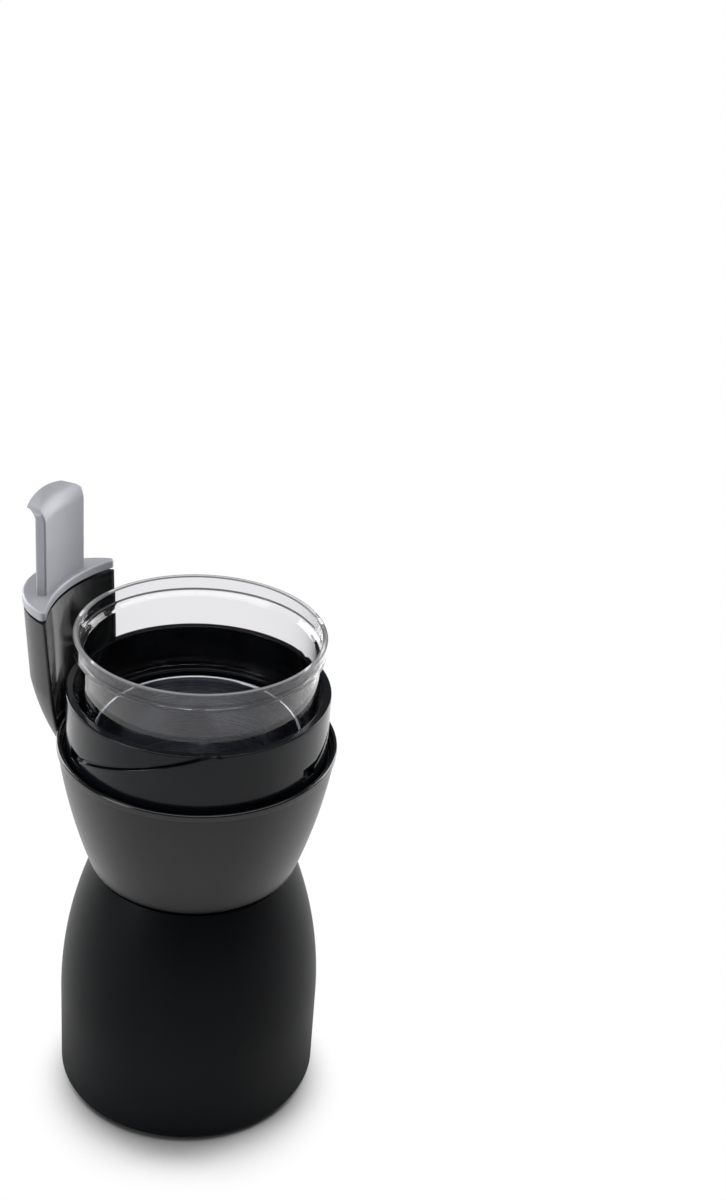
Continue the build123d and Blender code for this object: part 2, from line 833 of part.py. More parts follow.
def base_cover():
    """Screwed base plate with cooling vents, foot recesses and screw holes."""
    radius = base_radius - housing_wall - slip_gap
    cover = ring(0, radius, cover_lift, cover_top)
    vent = extrude(SlotCenterToCenter(vent_length - vent_width, vent_width), 2 * cover_top)
    for copy in around(Pos(vent_circle, 0, 0) * vent, vent_count, 180 / vent_count):
        cover -= copy
    recess = Pos(foot_circle, 0, 0) * ring(0, foot_radius + touch_gap, cover_lift, cover_lift + foot_recess)
    place = Pos(base_screw_circle, 0, 0)
    seat = place * ring(0, screw_head_radius + touch_gap, 0, cover_lift + base_screw_seat)
    hole = place * ring(0, screw_radius + screw_gap, 0, cover_top)
    for cut in (recess, seat, hole):
        for copy in around(cut, foot_count, foot_start_angle):
            cover -= copy
    return cover


def rubber_feet():
    """Four round pads stuck in the base cover's recesses."""
    pad = ring(0, foot_radius, 0, cover_lift + foot_recess)
    pad = fillet(pad.edges().sort_by(Axis.Z)[:1], foot_edge_radius)
    return joined(around(Pos(foot_circle, 0, 0) * pad, foot_count, foot_start_angle))


def base_screws():
    """Four screws that hold the base cover."""
    one = screw(screw_head_height, screw_head_radius, screw_radius - thread_gap, screw_length)
    place = Pos(base_screw_circle, 0, cover_lift + base_screw_seat)
    return joined(around(place * one, foot_count, foot_start_angle))


def collar_screws():
    """Three screws up through the housing's ledge into the collar's bosses."""
    one = screw(screw_head_height, screw_head_radius, screw_radius - thread_gap, collar_screw_length)
    place = Pos(collar_screw_circle, 0, collar_foot - ledge_thickness)
    return joined(around(place * one, collar_screw_count, collar_screw_start_angle))


def cord_bush():
    """Ribbed rubber bush that guards the cord where it enters, left empty."""
    wall_in = math.sqrt((base_radius - housing_wall)**2 - bush_flange_radius**2) - touch_gap
    start = wall_in - bush_flange_thickness
    wall_out = base_radius + touch_gap
    tail_end = wall_out + bush_flange_thickness + bush_tail_length
    body = ring(0, bush_flange_radius, start, start + bush_flange_thickness)
    body += ring(0, bush_radius, start, wall_out)
    body += ring(0, bush_flange_radius, wall_out, wall_out + bush_flange_thickness)
    body += ring(0, bush_tail_radius, wall_out, tail_end)
    for step in range(bush_rib_count):
        low = wall_out + bush_flange_thickness + bush_rib_width + step * bush_rib_pitch
        body += ring(0, bush_rib_radius, low, low + bush_rib_width)
    body -= ring(0, cord_bore_radius, start, tail_end)
    return Pos(0, 0, cord_height) * (Rot(-90, 0, 0) * body)


def motor_mounts():
    """Rubber rings between the motor's upper bracket and the flange."""
    one = ring(screw_radius + screw_gap, mount_radius, motor_plate_top, flange_bottom)
    return joined(around(Pos(motor_screw_circle, 0, 0) * one, motor_screw_count))


def motor_screws():
    """Screws from the motor's bracket up through the flange into the upper housing."""
    one = screw(screw_head_height, screw_head_radius, screw_radius - thread_gap, motor_screw_length)
    return joined(around(Pos(motor_screw_circle, 0, motor_plate_bottom) * one, motor_screw_count))


def square_places(offset):
    """Four places at the corners of a square."""
    return [Pos(x * offset, y * offset, 0) for x in (-1, 1) for y in (-1, 1)]


def upper_bracket():
    """Round bracket over the stator: four posts and the upper bearing's cup."""
    bracket = ring(shaft_radius + free_gap, upper_bracket_radius, motor_plate_bottom, motor_plate_top)
    cup_top = motor_plate_bottom + bearing_height + bearing_cup_wall
    bracket += ring(0, bearing_radius + bearing_cup_wall, motor_plate_bottom, cup_top)
    bracket -= ring(0, bearing_radius + slip_gap, motor_plate_bottom, cup_top - bearing_cup_wall)
    bracket -= ring(0, shaft_radius + free_gap, motor_plate_bottom, cup_top)
    for place in square_places(post_offset):
        bracket += place * ring(0, post_radius, stator_top, motor_plate_bottom)
        bracket -= place * ring(0, motor_bolt_radius + touch_gap, stator_top, motor_plate_top)
    hole = ring(0, screw_radius + screw_gap, motor_plate_bottom, motor_plate_top)
    for copy in around(Pos(motor_screw_circle, 0, 0) * hole, motor_screw_count):
        bracket -= copy
    return bracket


def lower_bracket():
    """Bracket under the stator: four posts, the lower bearing's cup and the brush seats."""
    plate = RectangleRounded(stator_width, stator_width, stator_corner_radius)
    bracket = extrude(Pos(0, 0, lower_plate_bottom) * plate, bracket_plate)
    cup_low = lower_plate_top - bearing_height - bearing_cup_wall
    bracket += ring(0, bearing_radius + bearing_cup_wall, cup_low, lower_plate_top)
    bracket -= ring(0, bearing_radius + slip_gap, cup_low + bearing_cup_wall, lower_plate_top)
    for place in square_places(post_offset):
        bracket += place * ring(0, post_radius, lower_plate_top, stator_bottom)
        bracket -= place * ring(0, motor_bolt_radius + touch_gap, lower_plate_bottom, stator_bottom)
    return bracket


def bearing(low):
    """Sintered sleeve bearing with a running fit on the shaft."""
    return ring(shaft_radius + running_gap, bearing_radius, low, low + bearing_height)


def motor_bolts():
    """Four long bolts that clamp both brackets to the stator."""
    length = motor_plate_top - lower_plate_bottom
    one = screw(screw_head_height, screw_head_radius, motor_bolt_radius, length)
    return joined(place * (Pos(0, 0, lower_plate_bottom) * one) for place in square_places(post_offset))


def stator_core():
    """Laminated stator: square yoke, two poles on X and two coil windows."""
    core = RectangleRounded(stator_width, stator_width, stator_corner_radius) - Circle(stator_bore_radius)
    core = extrude(Pos(0, 0, stator_bottom) * core, stator_height)
    for middle in (90, 270):
        core -= sector(
            stator_bore_radius - 1, window_radius, stator_bottom, stator_top,
            middle - window_half_angle, middle + window_half_angle,
        )
    for place in square_places(post_offset):
        core -= place * ring(0, motor_bolt_radius + touch_gap, stator_bottom, stator_top)
    return core


def field_coil(middle):
    """One saddle coil: two sides in the windows and an arc over each end of its pole."""
    inner = window_radius - coil_clearance - coil_thickness
    outer = window_radius - coil_clearance
    low = stator_bottom - coil_overhang
    high = stator_top + coil_overhang
    clear = math.degrees(coil_clearance / inner)
    near = 90 - window_half_angle + clear
    far = 90 - clear
    coil_solid = sector(inner, outer, low, high, middle - far, middle - near)
    coil_solid += sector(inner, outer, low, high, middle + near, middle + far)
    coil_solid += sector(inner, outer, low, stator_bottom - coil_clearance, middle - far, middle + far)
    return coil_solid + sector(inner, outer, stator_top + coil_clearance, high, middle - far, middle + far)


def field_coils():
    """Both field coils."""
    return joined([field_coil(0), field_coil(180)])


def armature_core():
    """Laminated armature with open slots, pressed on the shaft."""
    radius = stator_bore_radius - air_gap
    core = ring(shaft_radius + press_gap, radius, stator_bottom, stator_top)
    slot = Box(slot_depth, slot_width, stator_height, align=(Align.MIN, Align.CENTER, Align.MIN))
    for copy in around(Pos(radius - slot_depth, 0, stator_bottom) * slot, slot_count):
        core -= copy
    return core


def armature_windings():
    """Copper in the armature's slots, joined by the end turns."""
    slot_bottom = stator_bore_radius - air_gap - slot_depth
    low = stator_bottom - winding_height
    high = stator_top + winding_height
    coils = ring(armature_core_radius, winding_radius, low, stator_bottom - touch_gap)
    coils += ring(armature_core_radius, winding_radius, stator_top + touch_gap, high)
    width = slot_width - 2 * slip_gap
    depth = slot_depth - 2 * slip_gap - (stator_bore_radius - air_gap - winding_radius - 1)
    bar = Box(depth, width, high - low, align=(Align.MIN, Align.CENTER, Align.MIN))
    for copy in around(Pos(slot_bottom + slip_gap, 0, low) * bar, slot_count):
        coils += copy
    return coils


def commutator():
    """Copper segments round the shaft below the armature."""
    top = stator_bottom - winding_height - touch_gap
    body = ring(shaft_radius + press_gap, commutator_radius, top - commutator_height, top)
    groove = Box(
        2 * commutator_groove,
        commutator_groove,
        commutator_height,
        align=(Align.CENTER, Align.CENTER, Align.MIN),
    )
    for copy in around(Pos(commutator_radius, 0, top - commutator_height) * groove, slot_count):
        body -= copy
    return body


def commutator_middle():
    """Height of the commutator's middle, where the brushes run."""
    return stator_bottom - winding_height - touch_gap - commutator_height / 2


def carbon_brushes():
    """Two carbon brushes, one on each side of the commutator."""
    start = commutator_radius + brush_gap
    block = Box(brush_width, brush_length, brush_height, align=(Align.CENTER, Align.MIN, Align.CENTER))
    return joined(around(Pos(0, start, commutator_middle()) * block, 2))


def brush_holders():
    """Two brush boxes on legs from the lower bracket."""
    start = commutator_radius + brush_gap + holder_setback
    side = holder_wall + slip_gap
    outer = Box(
        brush_width + 2 * side,
        holder_length,
        commutator_middle() + brush_height / 2 + side - lower_plate_top,
        align=(Align.CENTER, Align.MIN, Align.MIN),
    )
    bore = Box(brush_width + 2 * slip_gap, 3 * brush_length, brush_height + 2 * slip_gap)
    holder = Pos(0, start, lower_plate_top) * outer - Pos(0, start, commutator_middle()) * bore
    return joined(around(holder, 2))


def cooling_fan():
    """Radial fan under the upper bracket: disc, hub and straight blades."""
    low = stator_top + coil_overhang + free_gap
    fan = ring(shaft_radius + press_gap, fan_radius, low, low + fan_disc_thickness)
    fan += ring(shaft_radius + press_gap, fan_hub_radius, low, low + fan_height)
    length = fan_radius - fan_hub_radius
    blade = Box(length, fan_blade_thickness, fan_height, align=(Align.MIN, Align.CENTER, Align.MIN))
    for copy in around(Pos(fan_hub_radius - 1, 0, low) * blade, fan_blade_count):
        fan += copy
    return fan


def motor_shaft():
    """Steel shaft from the lower bearing to the blade's nut."""
    low = lower_plate_top - bearing_height
    shaft = ring(0, shaft_radius, low, shaft_top)
    return chamfer(shaft.edges().sort_by(Axis.Z)[-1:], shaft_chamfer)


def blade_hub():
    """Moulded hub on the shaft that the blade sits on."""
    low = hub_top + seal_flange_thickness + free_gap
    return ring(shaft_radius + press_gap, hub_radius, low, blade_height)


def blade_wing(side):
    """One blade wing: bent up in two steps on one side and down on the other."""
    points = [
        (0, 0),
        (blade_flat, 0),
        (blade_bend, side * blade_first_rise),
        (blade_length, side * blade_tip_rise),
    ]
    low = [(x, z) for x, z in points]
    high = [(x, z + blade_thickness) for x, z in reversed(points)]
    strip = make_face(Polyline(*(low + high), close=True))
    wing = extrude(Plane.XZ * strip, blade_root_width, both=True)
    root = blade_root_width / 2
    tip = blade_tip_width / 2
    plan = Polyline((0, -root), (blade_flat, -root), (blade_bend, -tip))
    plan += ThreePointArc((blade_bend, -tip), (blade_length, 0), (blade_bend, tip))
    plan += Polyline((blade_bend, tip), (blade_flat, root), (0, root), (0, -root))
    tall = 2 * blade_tip_rise
    wing &= extrude(Pos(0, 0, -tall) * make_face(plan), 2 * tall)
    lean = math.degrees(math.atan2(blade_root_width - blade_tip_width, 2 * (blade_bend - blade_flat)))
    bevel = Pos(blade_length / 2, 0, 0) * Box(blade_length, blade_thickness, 2 * blade_thickness)
    bevel = Rot(0, 0, -lean) * (Rot(bevel_angle, 0, 0) * bevel)
    return wing - Pos(blade_flat, root, blade_thickness + side * bevel_lift) * bevel


def grinding_blade():
    """Two-winged stainless blade with a round centre and the shaft's hole."""
    blade = extrude(Circle(blade_centre_radius), blade_thickness)
    blade += blade_wing(1)
    blade += Rot(0, 0, 180) * blade_wing(-1)
    blade -= extrude(Circle(shaft_radius + press_gap), 2 * blade_thickness)
    return Pos(0, 0, blade_height) * blade


def blade_nut():
    """Domed hexagon nut over the shaft's end."""
    low = blade_height + blade_thickness
    nut = extrude(RegularPolygon(nut_width / 2, 6, major_radius=False), nut_height)
    upper_half = Pos(0, 0, nut_dome_radius) * Box(*(3 * [2 * nut_dome_radius]))
    nut += Pos(0, 0, nut_height) * (Sphere(nut_dome_radius) & upper_half)
    nut -= extrude(Circle(shaft_radius + press_gap), shaft_top - low + touch_gap)
    return Pos(0, 0, low) * nut


def push_rod():
    """Steel rod pressed into the lever, which rests on the switch's button."""
    return rod_bore(rod_radius, rod_bottom, plate_bottom)


def column_screws():
    """Two screws from inside the upper housing into the column's root."""
    one = screw(screw_head_height, screw_head_radius, screw_radius - thread_gap, column_screw_length)
    one = Pos(-column_screw_seat(), 0, 0) * (Rot(0, -90, 0) * one)
    return joined(place * one for place in column_screw_places())


nodes = {
    "lower_housing": lower_housing(),
    "upper_housing": upper_housing(),
    "rim_ring": rim_ring(),
    "lid_collar": lid_collar(),
    "clear_hopper_ring": clear_hopper_ring(),
    "grinding_bowl": grinding_bowl(),
    "shaft_seal": shaft_seal(),
    "column_shell": column_shell(),
    "column_fascia": column_fascia(),
    "pulse_lever": pulse_lever(),
    "lever_push_rod": push_rod(),
    "lever_return_spring": lever_return_spring(),
    "switch_body": switch_body(),
    "switch_button": switch_button(),
    "switch_bracket": switch_bracket(),
    "base_cover": base_cover(),
    "rubber_feet": rubber_feet(),
    "base_screws": base_screws(),
    "collar_screws": collar_screws(),
    "column_screws": column_screws(),
    "cord_bush": cord_bush(),
    "motor_mounts": motor_mounts(),
    "motor_screws": motor_screws(),
    "upper_bracket": upper_bracket(),
    "lower_bracket": lower_bracket(),
    "upper_bearing": bearing(motor_plate_bottom),
    "lower_bearing": bearing(lower_plate_top - bearing_height),
    "motor_bolts": motor_bolts(),
    "stator_core": stator_core(),
    "field_coils": field_coils(),
    "carbon_brushes": carbon_brushes(),
    "brush_holders": brush_holders(),
    "armature_core": armature_core(),
    "armature_windings": armature_windings(),
    "commutator": commutator(),
    "cooling_fan": cooling_fan(),
    "motor_shaft": motor_shaft(),
    "blade_hub": blade_hub(),
    "grinding_blade": grinding_blade(),
    "blade_nut": blade_nut(),
}

os.makedirs("parts", exist_ok=True)
for name, shape in nodes.items():
    export_step(shape, f"parts/{name}.step")
    print(name, "ok")
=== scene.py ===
import logging
import math
from dataclasses import dataclass, field
from enum import Enum
from typing import Callable, Iterable, Sequence

import bmesh
import bpy
from mathutils import Matrix, Vector


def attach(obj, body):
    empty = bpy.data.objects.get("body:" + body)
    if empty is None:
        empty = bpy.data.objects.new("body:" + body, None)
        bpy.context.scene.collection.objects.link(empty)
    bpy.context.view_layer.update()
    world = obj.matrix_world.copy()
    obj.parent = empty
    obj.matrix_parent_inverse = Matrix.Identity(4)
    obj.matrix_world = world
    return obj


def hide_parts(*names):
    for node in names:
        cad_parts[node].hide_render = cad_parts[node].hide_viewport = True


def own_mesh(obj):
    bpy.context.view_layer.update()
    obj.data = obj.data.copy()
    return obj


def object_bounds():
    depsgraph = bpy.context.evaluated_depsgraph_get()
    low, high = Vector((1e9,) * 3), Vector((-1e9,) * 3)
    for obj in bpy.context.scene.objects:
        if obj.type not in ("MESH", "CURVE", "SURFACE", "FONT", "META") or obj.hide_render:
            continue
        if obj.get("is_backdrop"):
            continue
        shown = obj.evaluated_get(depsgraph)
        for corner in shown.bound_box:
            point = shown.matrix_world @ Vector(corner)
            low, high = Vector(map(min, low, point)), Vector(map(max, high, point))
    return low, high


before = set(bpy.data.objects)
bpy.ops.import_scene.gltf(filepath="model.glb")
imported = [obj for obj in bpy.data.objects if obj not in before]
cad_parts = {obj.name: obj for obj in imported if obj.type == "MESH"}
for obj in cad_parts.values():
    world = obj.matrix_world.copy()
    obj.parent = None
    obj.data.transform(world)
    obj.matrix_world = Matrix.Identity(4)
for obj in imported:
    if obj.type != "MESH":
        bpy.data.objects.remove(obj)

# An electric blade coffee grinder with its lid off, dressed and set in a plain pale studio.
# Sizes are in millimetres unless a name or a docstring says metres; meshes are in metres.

Point = tuple[float, float]
Place = tuple[float, float, float]
Colour = tuple[float, float, float]
Key = str | int
Inputs = dict[Key, object]
RadiusAt = Callable[[float], float]
Socket = bpy.types.NodeSocket
Shape = bmesh.types.BMesh
Piece = bpy.types.Object

MM = 0.001
DOUBLE = 0.0000005  # metres under which the points of a new shape are one
SLIVER = 0.0000002  # metres under which an edge of a new shape is none
COPY_DOUBLE = 0.000002  # the same two for a copy of a CAD mesh
COPY_SLIVER = 0.000001
FLAT = math.radians(0.3)  # turn under which two faces of a copy are one
ROUNDED = math.radians(28.0)  # turn past which an edge of a copy is rounded
HOLD_PLACE = 1.35  # where a holding point lies past a rounding, in lengths of its reach
HOLD_LIMIT = 0.48  # how far along a side it may lie, in lengths of the side
log = logging.getLogger("grinder")


# Shader expressions


class Value:
    """A number that flows through a material, with Python's operators."""

    def __init__(self, graph: "Graph", socket: Socket) -> None:
        """Wrap an output socket of a graph."""
        self.graph = graph
        self.socket = socket

    def __add__(self, other: "Value | float") -> "Value":
        """Sum of two values."""
        return self.graph.math("ADD", self, other)

    __radd__ = __add__

    def __sub__(self, other: "Value | float") -> "Value":
        """Difference of two values."""
        return self.graph.math("SUBTRACT", self, other)

    def __rsub__(self, other: float) -> "Value":
        """Difference of a number and a value."""
        return self.graph.math("SUBTRACT", other, self)

    def __mul__(self, other: "Value | float") -> "Value":
        """Product of two values."""
        return self.graph.math("MULTIPLY", self, other)

    __rmul__ = __mul__

    def __truediv__(self, other: "Value | float") -> "Value":
        """Quotient of two values."""
        return self.graph.math("DIVIDE", self, other)

    def __rtruediv__(self, other: float) -> "Value":
        """Quotient of a number and a value."""
        return self.graph.math("DIVIDE", other, self)

    def step(self, low: float, high: float) -> "Value":
        """Smooth step from 0 at one level to 1 at another."""
        inputs = {"Value": self, "From Min": low, "From Max": high}
        return self.graph.value("ShaderNodeMapRange", inputs, interpolation_type="SMOOTHSTEP")


class Graph:
    """A node tree, written as expressions."""

    def __init__(self, tree: bpy.types.NodeTree) -> None:
        """Start from an empty tree."""
        self.tree = tree
        self.tree.nodes.clear()

    def node(self, kind: str, inputs: Inputs | None = None, **settings: object) -> bpy.types.Node:
        """Add a node.

        Args:
            kind: The node's type name.
            inputs: Socket name or number, to a constant, a Value or an output socket.
            settings: Properties to set before the sockets.

        Returns:
            The new node.
        """
        made = self.tree.nodes.new(kind)
        for key, setting in settings.items():
            setattr(made, key, setting)
        for key, given in (inputs or {}).items():
            source = given.socket if isinstance(given, Value) else given
            if isinstance(source, Socket):
                self.tree.links.new(source, made.inputs[key])
            else:
                made.inputs[key].default_value = source
        return made

    def output(self, kind: str, inputs: Inputs, end: Key = 0, **settings: object) -> Socket:
        """Add a node and give one of its output sockets."""
        return self.node(kind, inputs, **settings).outputs[end]

    def value(self, kind: str, inputs: Inputs, end: Key = 0, **settings: object) -> Value:
        """Add a node and give one of its outputs as a value."""
        return Value(self, self.output(kind, inputs, end, **settings))

    def math(self, operation: str, first: object, second: object = 0.0) -> Value:
        """Work out one operation on two numbers."""
        return self.value("ShaderNodeMath", {0: first, 1: second}, operation=operation)

    def seen(self) -> Value:
        """Tell what the camera sees from all other light.

        Returns:
            1 for what it sees, straight or through clear plastic, and 0 for the rest.
        """
        path = self.node("ShaderNodeLightPath").outputs
        bounces = Value(self, path["Diffuse Depth"]) + Value(self, path["Glossy Depth"])
        clear = self.math("LESS_THAN", bounces, 0.5) * Value(self, path["Is Transmission Ray"])
        return self.math("MAXIMUM", path["Is Camera Ray"], clear)

    def place(self) -> Socket:
        """Object coordinates, in metres."""
        return self.output("ShaderNodeTexCoord", {}, "Object")

    def axes(self) -> tuple[Value, Value, Value]:
        """Object coordinates as three values, in metres."""
        parts = self.node("ShaderNodeSeparateXYZ", {0: self.place()})
        return tuple(Value(self, output) for output in parts.outputs)

    def reach(self, x: Value, y: Value) -> Value:
        """Distance from the vertical axis."""
        return self.math("SQRT", x * x + y * y)

    def upright(self, height: object) -> Socket:
        """A vector along Z."""
        return self.output("ShaderNodeCombineXYZ", {"Z": height})

    def facing(self, blend: float) -> Value:
        """How far the surface turns from the eye, from 0 to 1."""
        return self.value("ShaderNodeLayerWeight", {"Blend": blend}, "Facing")

    def noise(self, scale: float, detail: float, at: Socket | None = None) -> Value:
        """Noise about 0.5, by features per metre, octaves, and coordinates or the object's own."""
        inputs = {"Vector": at or self.place(), "Scale": scale, "Detail": detail}
        return self.value("ShaderNodeTexNoise", inputs, "Fac")

    def blend(self, factor: Value, first: object, second: object) -> Socket:
        """Mix two colours: the first where the factor is 0, the second where it is 1."""
        return self.output("ShaderNodeMix", {0: factor, 6: first, 7: second}, 2, data_type="RGBA")

    def bump(self, height: Value, depth: float) -> Socket:
        """Turn a height from 0 to 1 into a normal, for a depth in metres."""
        inputs = {"Height": height, "Distance": depth, "Strength": 1.0}
        return self.output("ShaderNodeBump", inputs, "Normal")

    def surface(self, inputs: Inputs) -> None:
        """End the tree in a Principled shader."""
        shader = self.output("ShaderNodeBsdfPrincipled", inputs)
        self.node("ShaderNodeOutputMaterial", {"Surface": shader})


def shade(grey: float) -> tuple[float, float, float, float]:
    """A grey, as a socket takes it."""
    return (grey, grey, grey, 1.0)


def toned(colour: Colour, factor: float = 1.0, lift: float = 0.0) -> tuple[float, ...]:
    """A colour, multiplied and lifted, as a socket takes it."""
    return (*(factor * channel + lift for channel in colour), 1.0)


@dataclass(frozen=True)
class Finish:
    """A named finish that makes its material once."""

    name: str

    def paint(self, graph: Graph) -> None:
        """Write the material's nodes."""
        raise NotImplementedError

    def material(self) -> bpy.types.Material:
        """Give the finish's material.

        Returns:
            The material, made on first use.
        """
        name = f"{self.name}_finish"
        found = bpy.data.materials.get(name)
        if found is None:
            found = bpy.data.materials.new(name)
            found.use_nodes = True
            self.paint(Graph(found.node_tree))
        return found


@dataclass(frozen=True)
class MouldedPlastic(Finish):
    """Moulded plastic: an even colour, spark texture sized in metres, a few rubbed patches."""

    colour: Colour
    roughness: float
    specular: float = 0.5
    coat: float = 0.0
    grain: float = 2600.0
    grain_depth: float = 0.000010

    def paint(self, graph: Graph) -> None:
        """Write the material's nodes.

        Args:
            graph: The material's graph.
        """
        cloud = graph.noise(14.0, 3.0)
        fine = graph.noise(self.grain, 2.0)
        rubbed = graph.noise(60.0, 5.0).step(0.55, 0.8)
        light = toned(self.colour, 1.25, 0.001)
        graph.surface({
            "Specular IOR Level": self.specular,
            "Coat Weight": self.coat,
            "Coat Roughness": 0.06,
            "IOR": 1.47,
            "Base Color": graph.blend(cloud.step(0.35, 0.7), toned(self.colour), light),
            "Roughness": self.roughness + 0.05 * (cloud - 0.5) - 0.04 * rubbed,
            "Normal": graph.bump(fine, self.grain_depth),
        })


@dataclass(frozen=True)
class ClearPlastic(Finish):
    """Clear plastic that barely bends light: a thin gloss on top, and painted shade: greyer where
    seen edge on.
    """

    tint: Colour = (0.86, 0.85, 0.87)
    # Grey painted into the colour where the surface is seen edge on, as painted shade.
    edge: Colour = (0.30, 0.30, 0.33)
    roughness: float = 0.02
    bending: float = 1.10
    gloss: float = 1.43

    def paint(self, graph: Graph) -> None:
        """Write the material's nodes.

        Args:
            graph: The material's graph.
        """
        haze = graph.noise(45.0, 4.0).step(0.45, 0.75)
        ripple = graph.noise(30.0, 1.0)
        # Painted shade: the colour turns grey where the surface is seen edge on.
        edge_on_painted_shade = graph.facing(0.35).step(0.35, 0.95)
        graph.surface({
            "IOR": self.bending,
            "Transmission Weight": 1.0,
            "Coat Weight": 1.0,
            "Coat IOR": self.gloss,
            "Coat Roughness": 0.02,
            "Base Color": graph.blend(edge_on_painted_shade, toned(self.tint), toned(self.edge)),
            "Roughness": self.roughness + 0.03 * haze,
            "Normal": graph.bump(ripple, 0.00003),
        })


@dataclass(frozen=True)
class PaintedEdgeLines(Finish):
    """Painted edge lines for clear plastic, in metres: painted shade and painted reflection, grey
    on its roundings, clearer in its middle.
    """

    # The dark grey of the painted shade on the roundings.
    colour: Colour = (0.10, 0.10, 0.11)
    middle: float = 0.0462
    half_width: float = 0.0010
    middle_grey: float = 0.40
    cover: float = 0.88
    thinned: float = 0.45

    def paint(self, graph: Graph) -> None:
        """Write the material's nodes.

        Args:
            graph: The material's graph.
        """
        cloud = graph.noise(60.0, 3.0)
        x, y, _ = graph.axes()
        off_middle = graph.math("ABSOLUTE", graph.reach(x, y) - self.middle)
        # Painted shade on the roundings and a lighter painted reflection in the middle, laid as a
        # grey sheet over the clear plastic.
        rounded = off_middle.step(0.35 * self.half_width, 0.6 * self.half_width)
        graph.surface({
            "Specular IOR Level": 0.3,
            "Base Color": graph.blend(rounded, shade(self.middle_grey), toned(self.colour)),
            "Roughness": 0.25 + 0.1 * cloud,
            "Alpha": self.thinned + (self.cover - self.thinned) * rounded,
        })


@dataclass(frozen=True)
class TurnedSteel(Finish):
    """Stainless steel polished on a spindle: rings about the vertical axis, sized in metres."""

    colour: Colour
    roughness: float
    line_depth: float = 0.000004

    def paint(self, graph: Graph) -> None:
        """Write the material's nodes.

        Args:
            graph: The material's graph.
        """
        x, y, z = graph.axes()
        rings = graph.output("ShaderNodeCombineXYZ", {0: graph.reach(x, y), 1: z, 2: 0.0})
        lines = graph.noise(5200.0, 3.0, rings)
        cloud = graph.noise(35.0, 4.0)
        dark = toned(self.colour, 0.86)
        graph.surface({
            "Metallic": 1.0,
            "Base Color": graph.blend(cloud.step(0.3, 0.75), toned(self.colour), dark),
            "Roughness": self.roughness + 0.10 * (lines - 0.5) + 0.05 * (cloud - 0.5),
            "Normal": graph.bump(lines, self.line_depth),
        })


@dataclass(frozen=True)
class SilverPaint(Finish):
    """Satin silver paint on plastic: fine flake, and roughness that varies in soft patches."""

    colour: Colour = (0.335, 0.34, 0.37)
    roughness: float = 0.48

    def paint(self, graph: Graph) -> None:
        """Write the material's nodes.

        Args:
            graph: The material's graph.
        """
        flake = graph.noise(5200.0, 1.0)
        cloud = graph.noise(40.0, 4.0)
        dark = toned(self.colour, 0.84)
        graph.surface({
            "Metallic": 0.25,
            "Specular IOR Level": 0.4,
            "Coat Weight": 0.05,
            "Coat Roughness": 0.25,
            "Base Color": graph.blend(flake.step(0.35, 0.65), dark, toned(self.colour)),
            "Roughness": self.roughness + 0.07 * (cloud - 0.5),
            "Normal": graph.bump(flake, 0.000004),
        })


@dataclass(frozen=True)
class WornMetal(Finish):
    """Plain metal for the blade, screws, brackets and the motor."""

    colour: Colour = (0.55, 0.55, 0.57)
    roughness: float = 0.35

    def paint(self, graph: Graph) -> None:
        """Write the material's nodes.

        Args:
            graph: The material's graph.
        """
        cloud = graph.noise(300.0, 4.0)
        dark = toned(self.colour, 0.85)
        graph.surface({
            "Metallic": 1.0,
            "Base Color": graph.blend(cloud.step(0.35, 0.7), toned(self.colour), dark),
            "Roughness": self.roughness + 0.12 * (cloud - 0.5),
            "Normal": graph.bump(graph.noise(3000.0, 2.0), 0.000002),
        })


@dataclass(frozen=True)
class SoftRubber(Finish):
    """Matt black rubber, with lighter dusty patches laid at random."""

    colour: Colour = (0.02, 0.02, 0.021)
    dust_grey: float = 0.035

    def paint(self, graph: Graph) -> None:
        """Write the material's nodes.

        Args:
            graph: The material's graph.
        """
        dust = graph.noise(180.0, 5.0).step(0.5, 0.8)
        graph.surface({
            "Specular IOR Level": 0.35,
            "Base Color": graph.blend(dust, toned(self.colour), shade(self.dust_grey)),
            "Roughness": 0.62 + 0.2 * dust,
            "Normal": graph.bump(graph.noise(2200.0, 3.0), 0.00002),
        })


POLISHED = {"grain": 900.0, "grain_depth": 0.000003}
PANEL_TINT = (0.006, 0.0065, 0.0065)


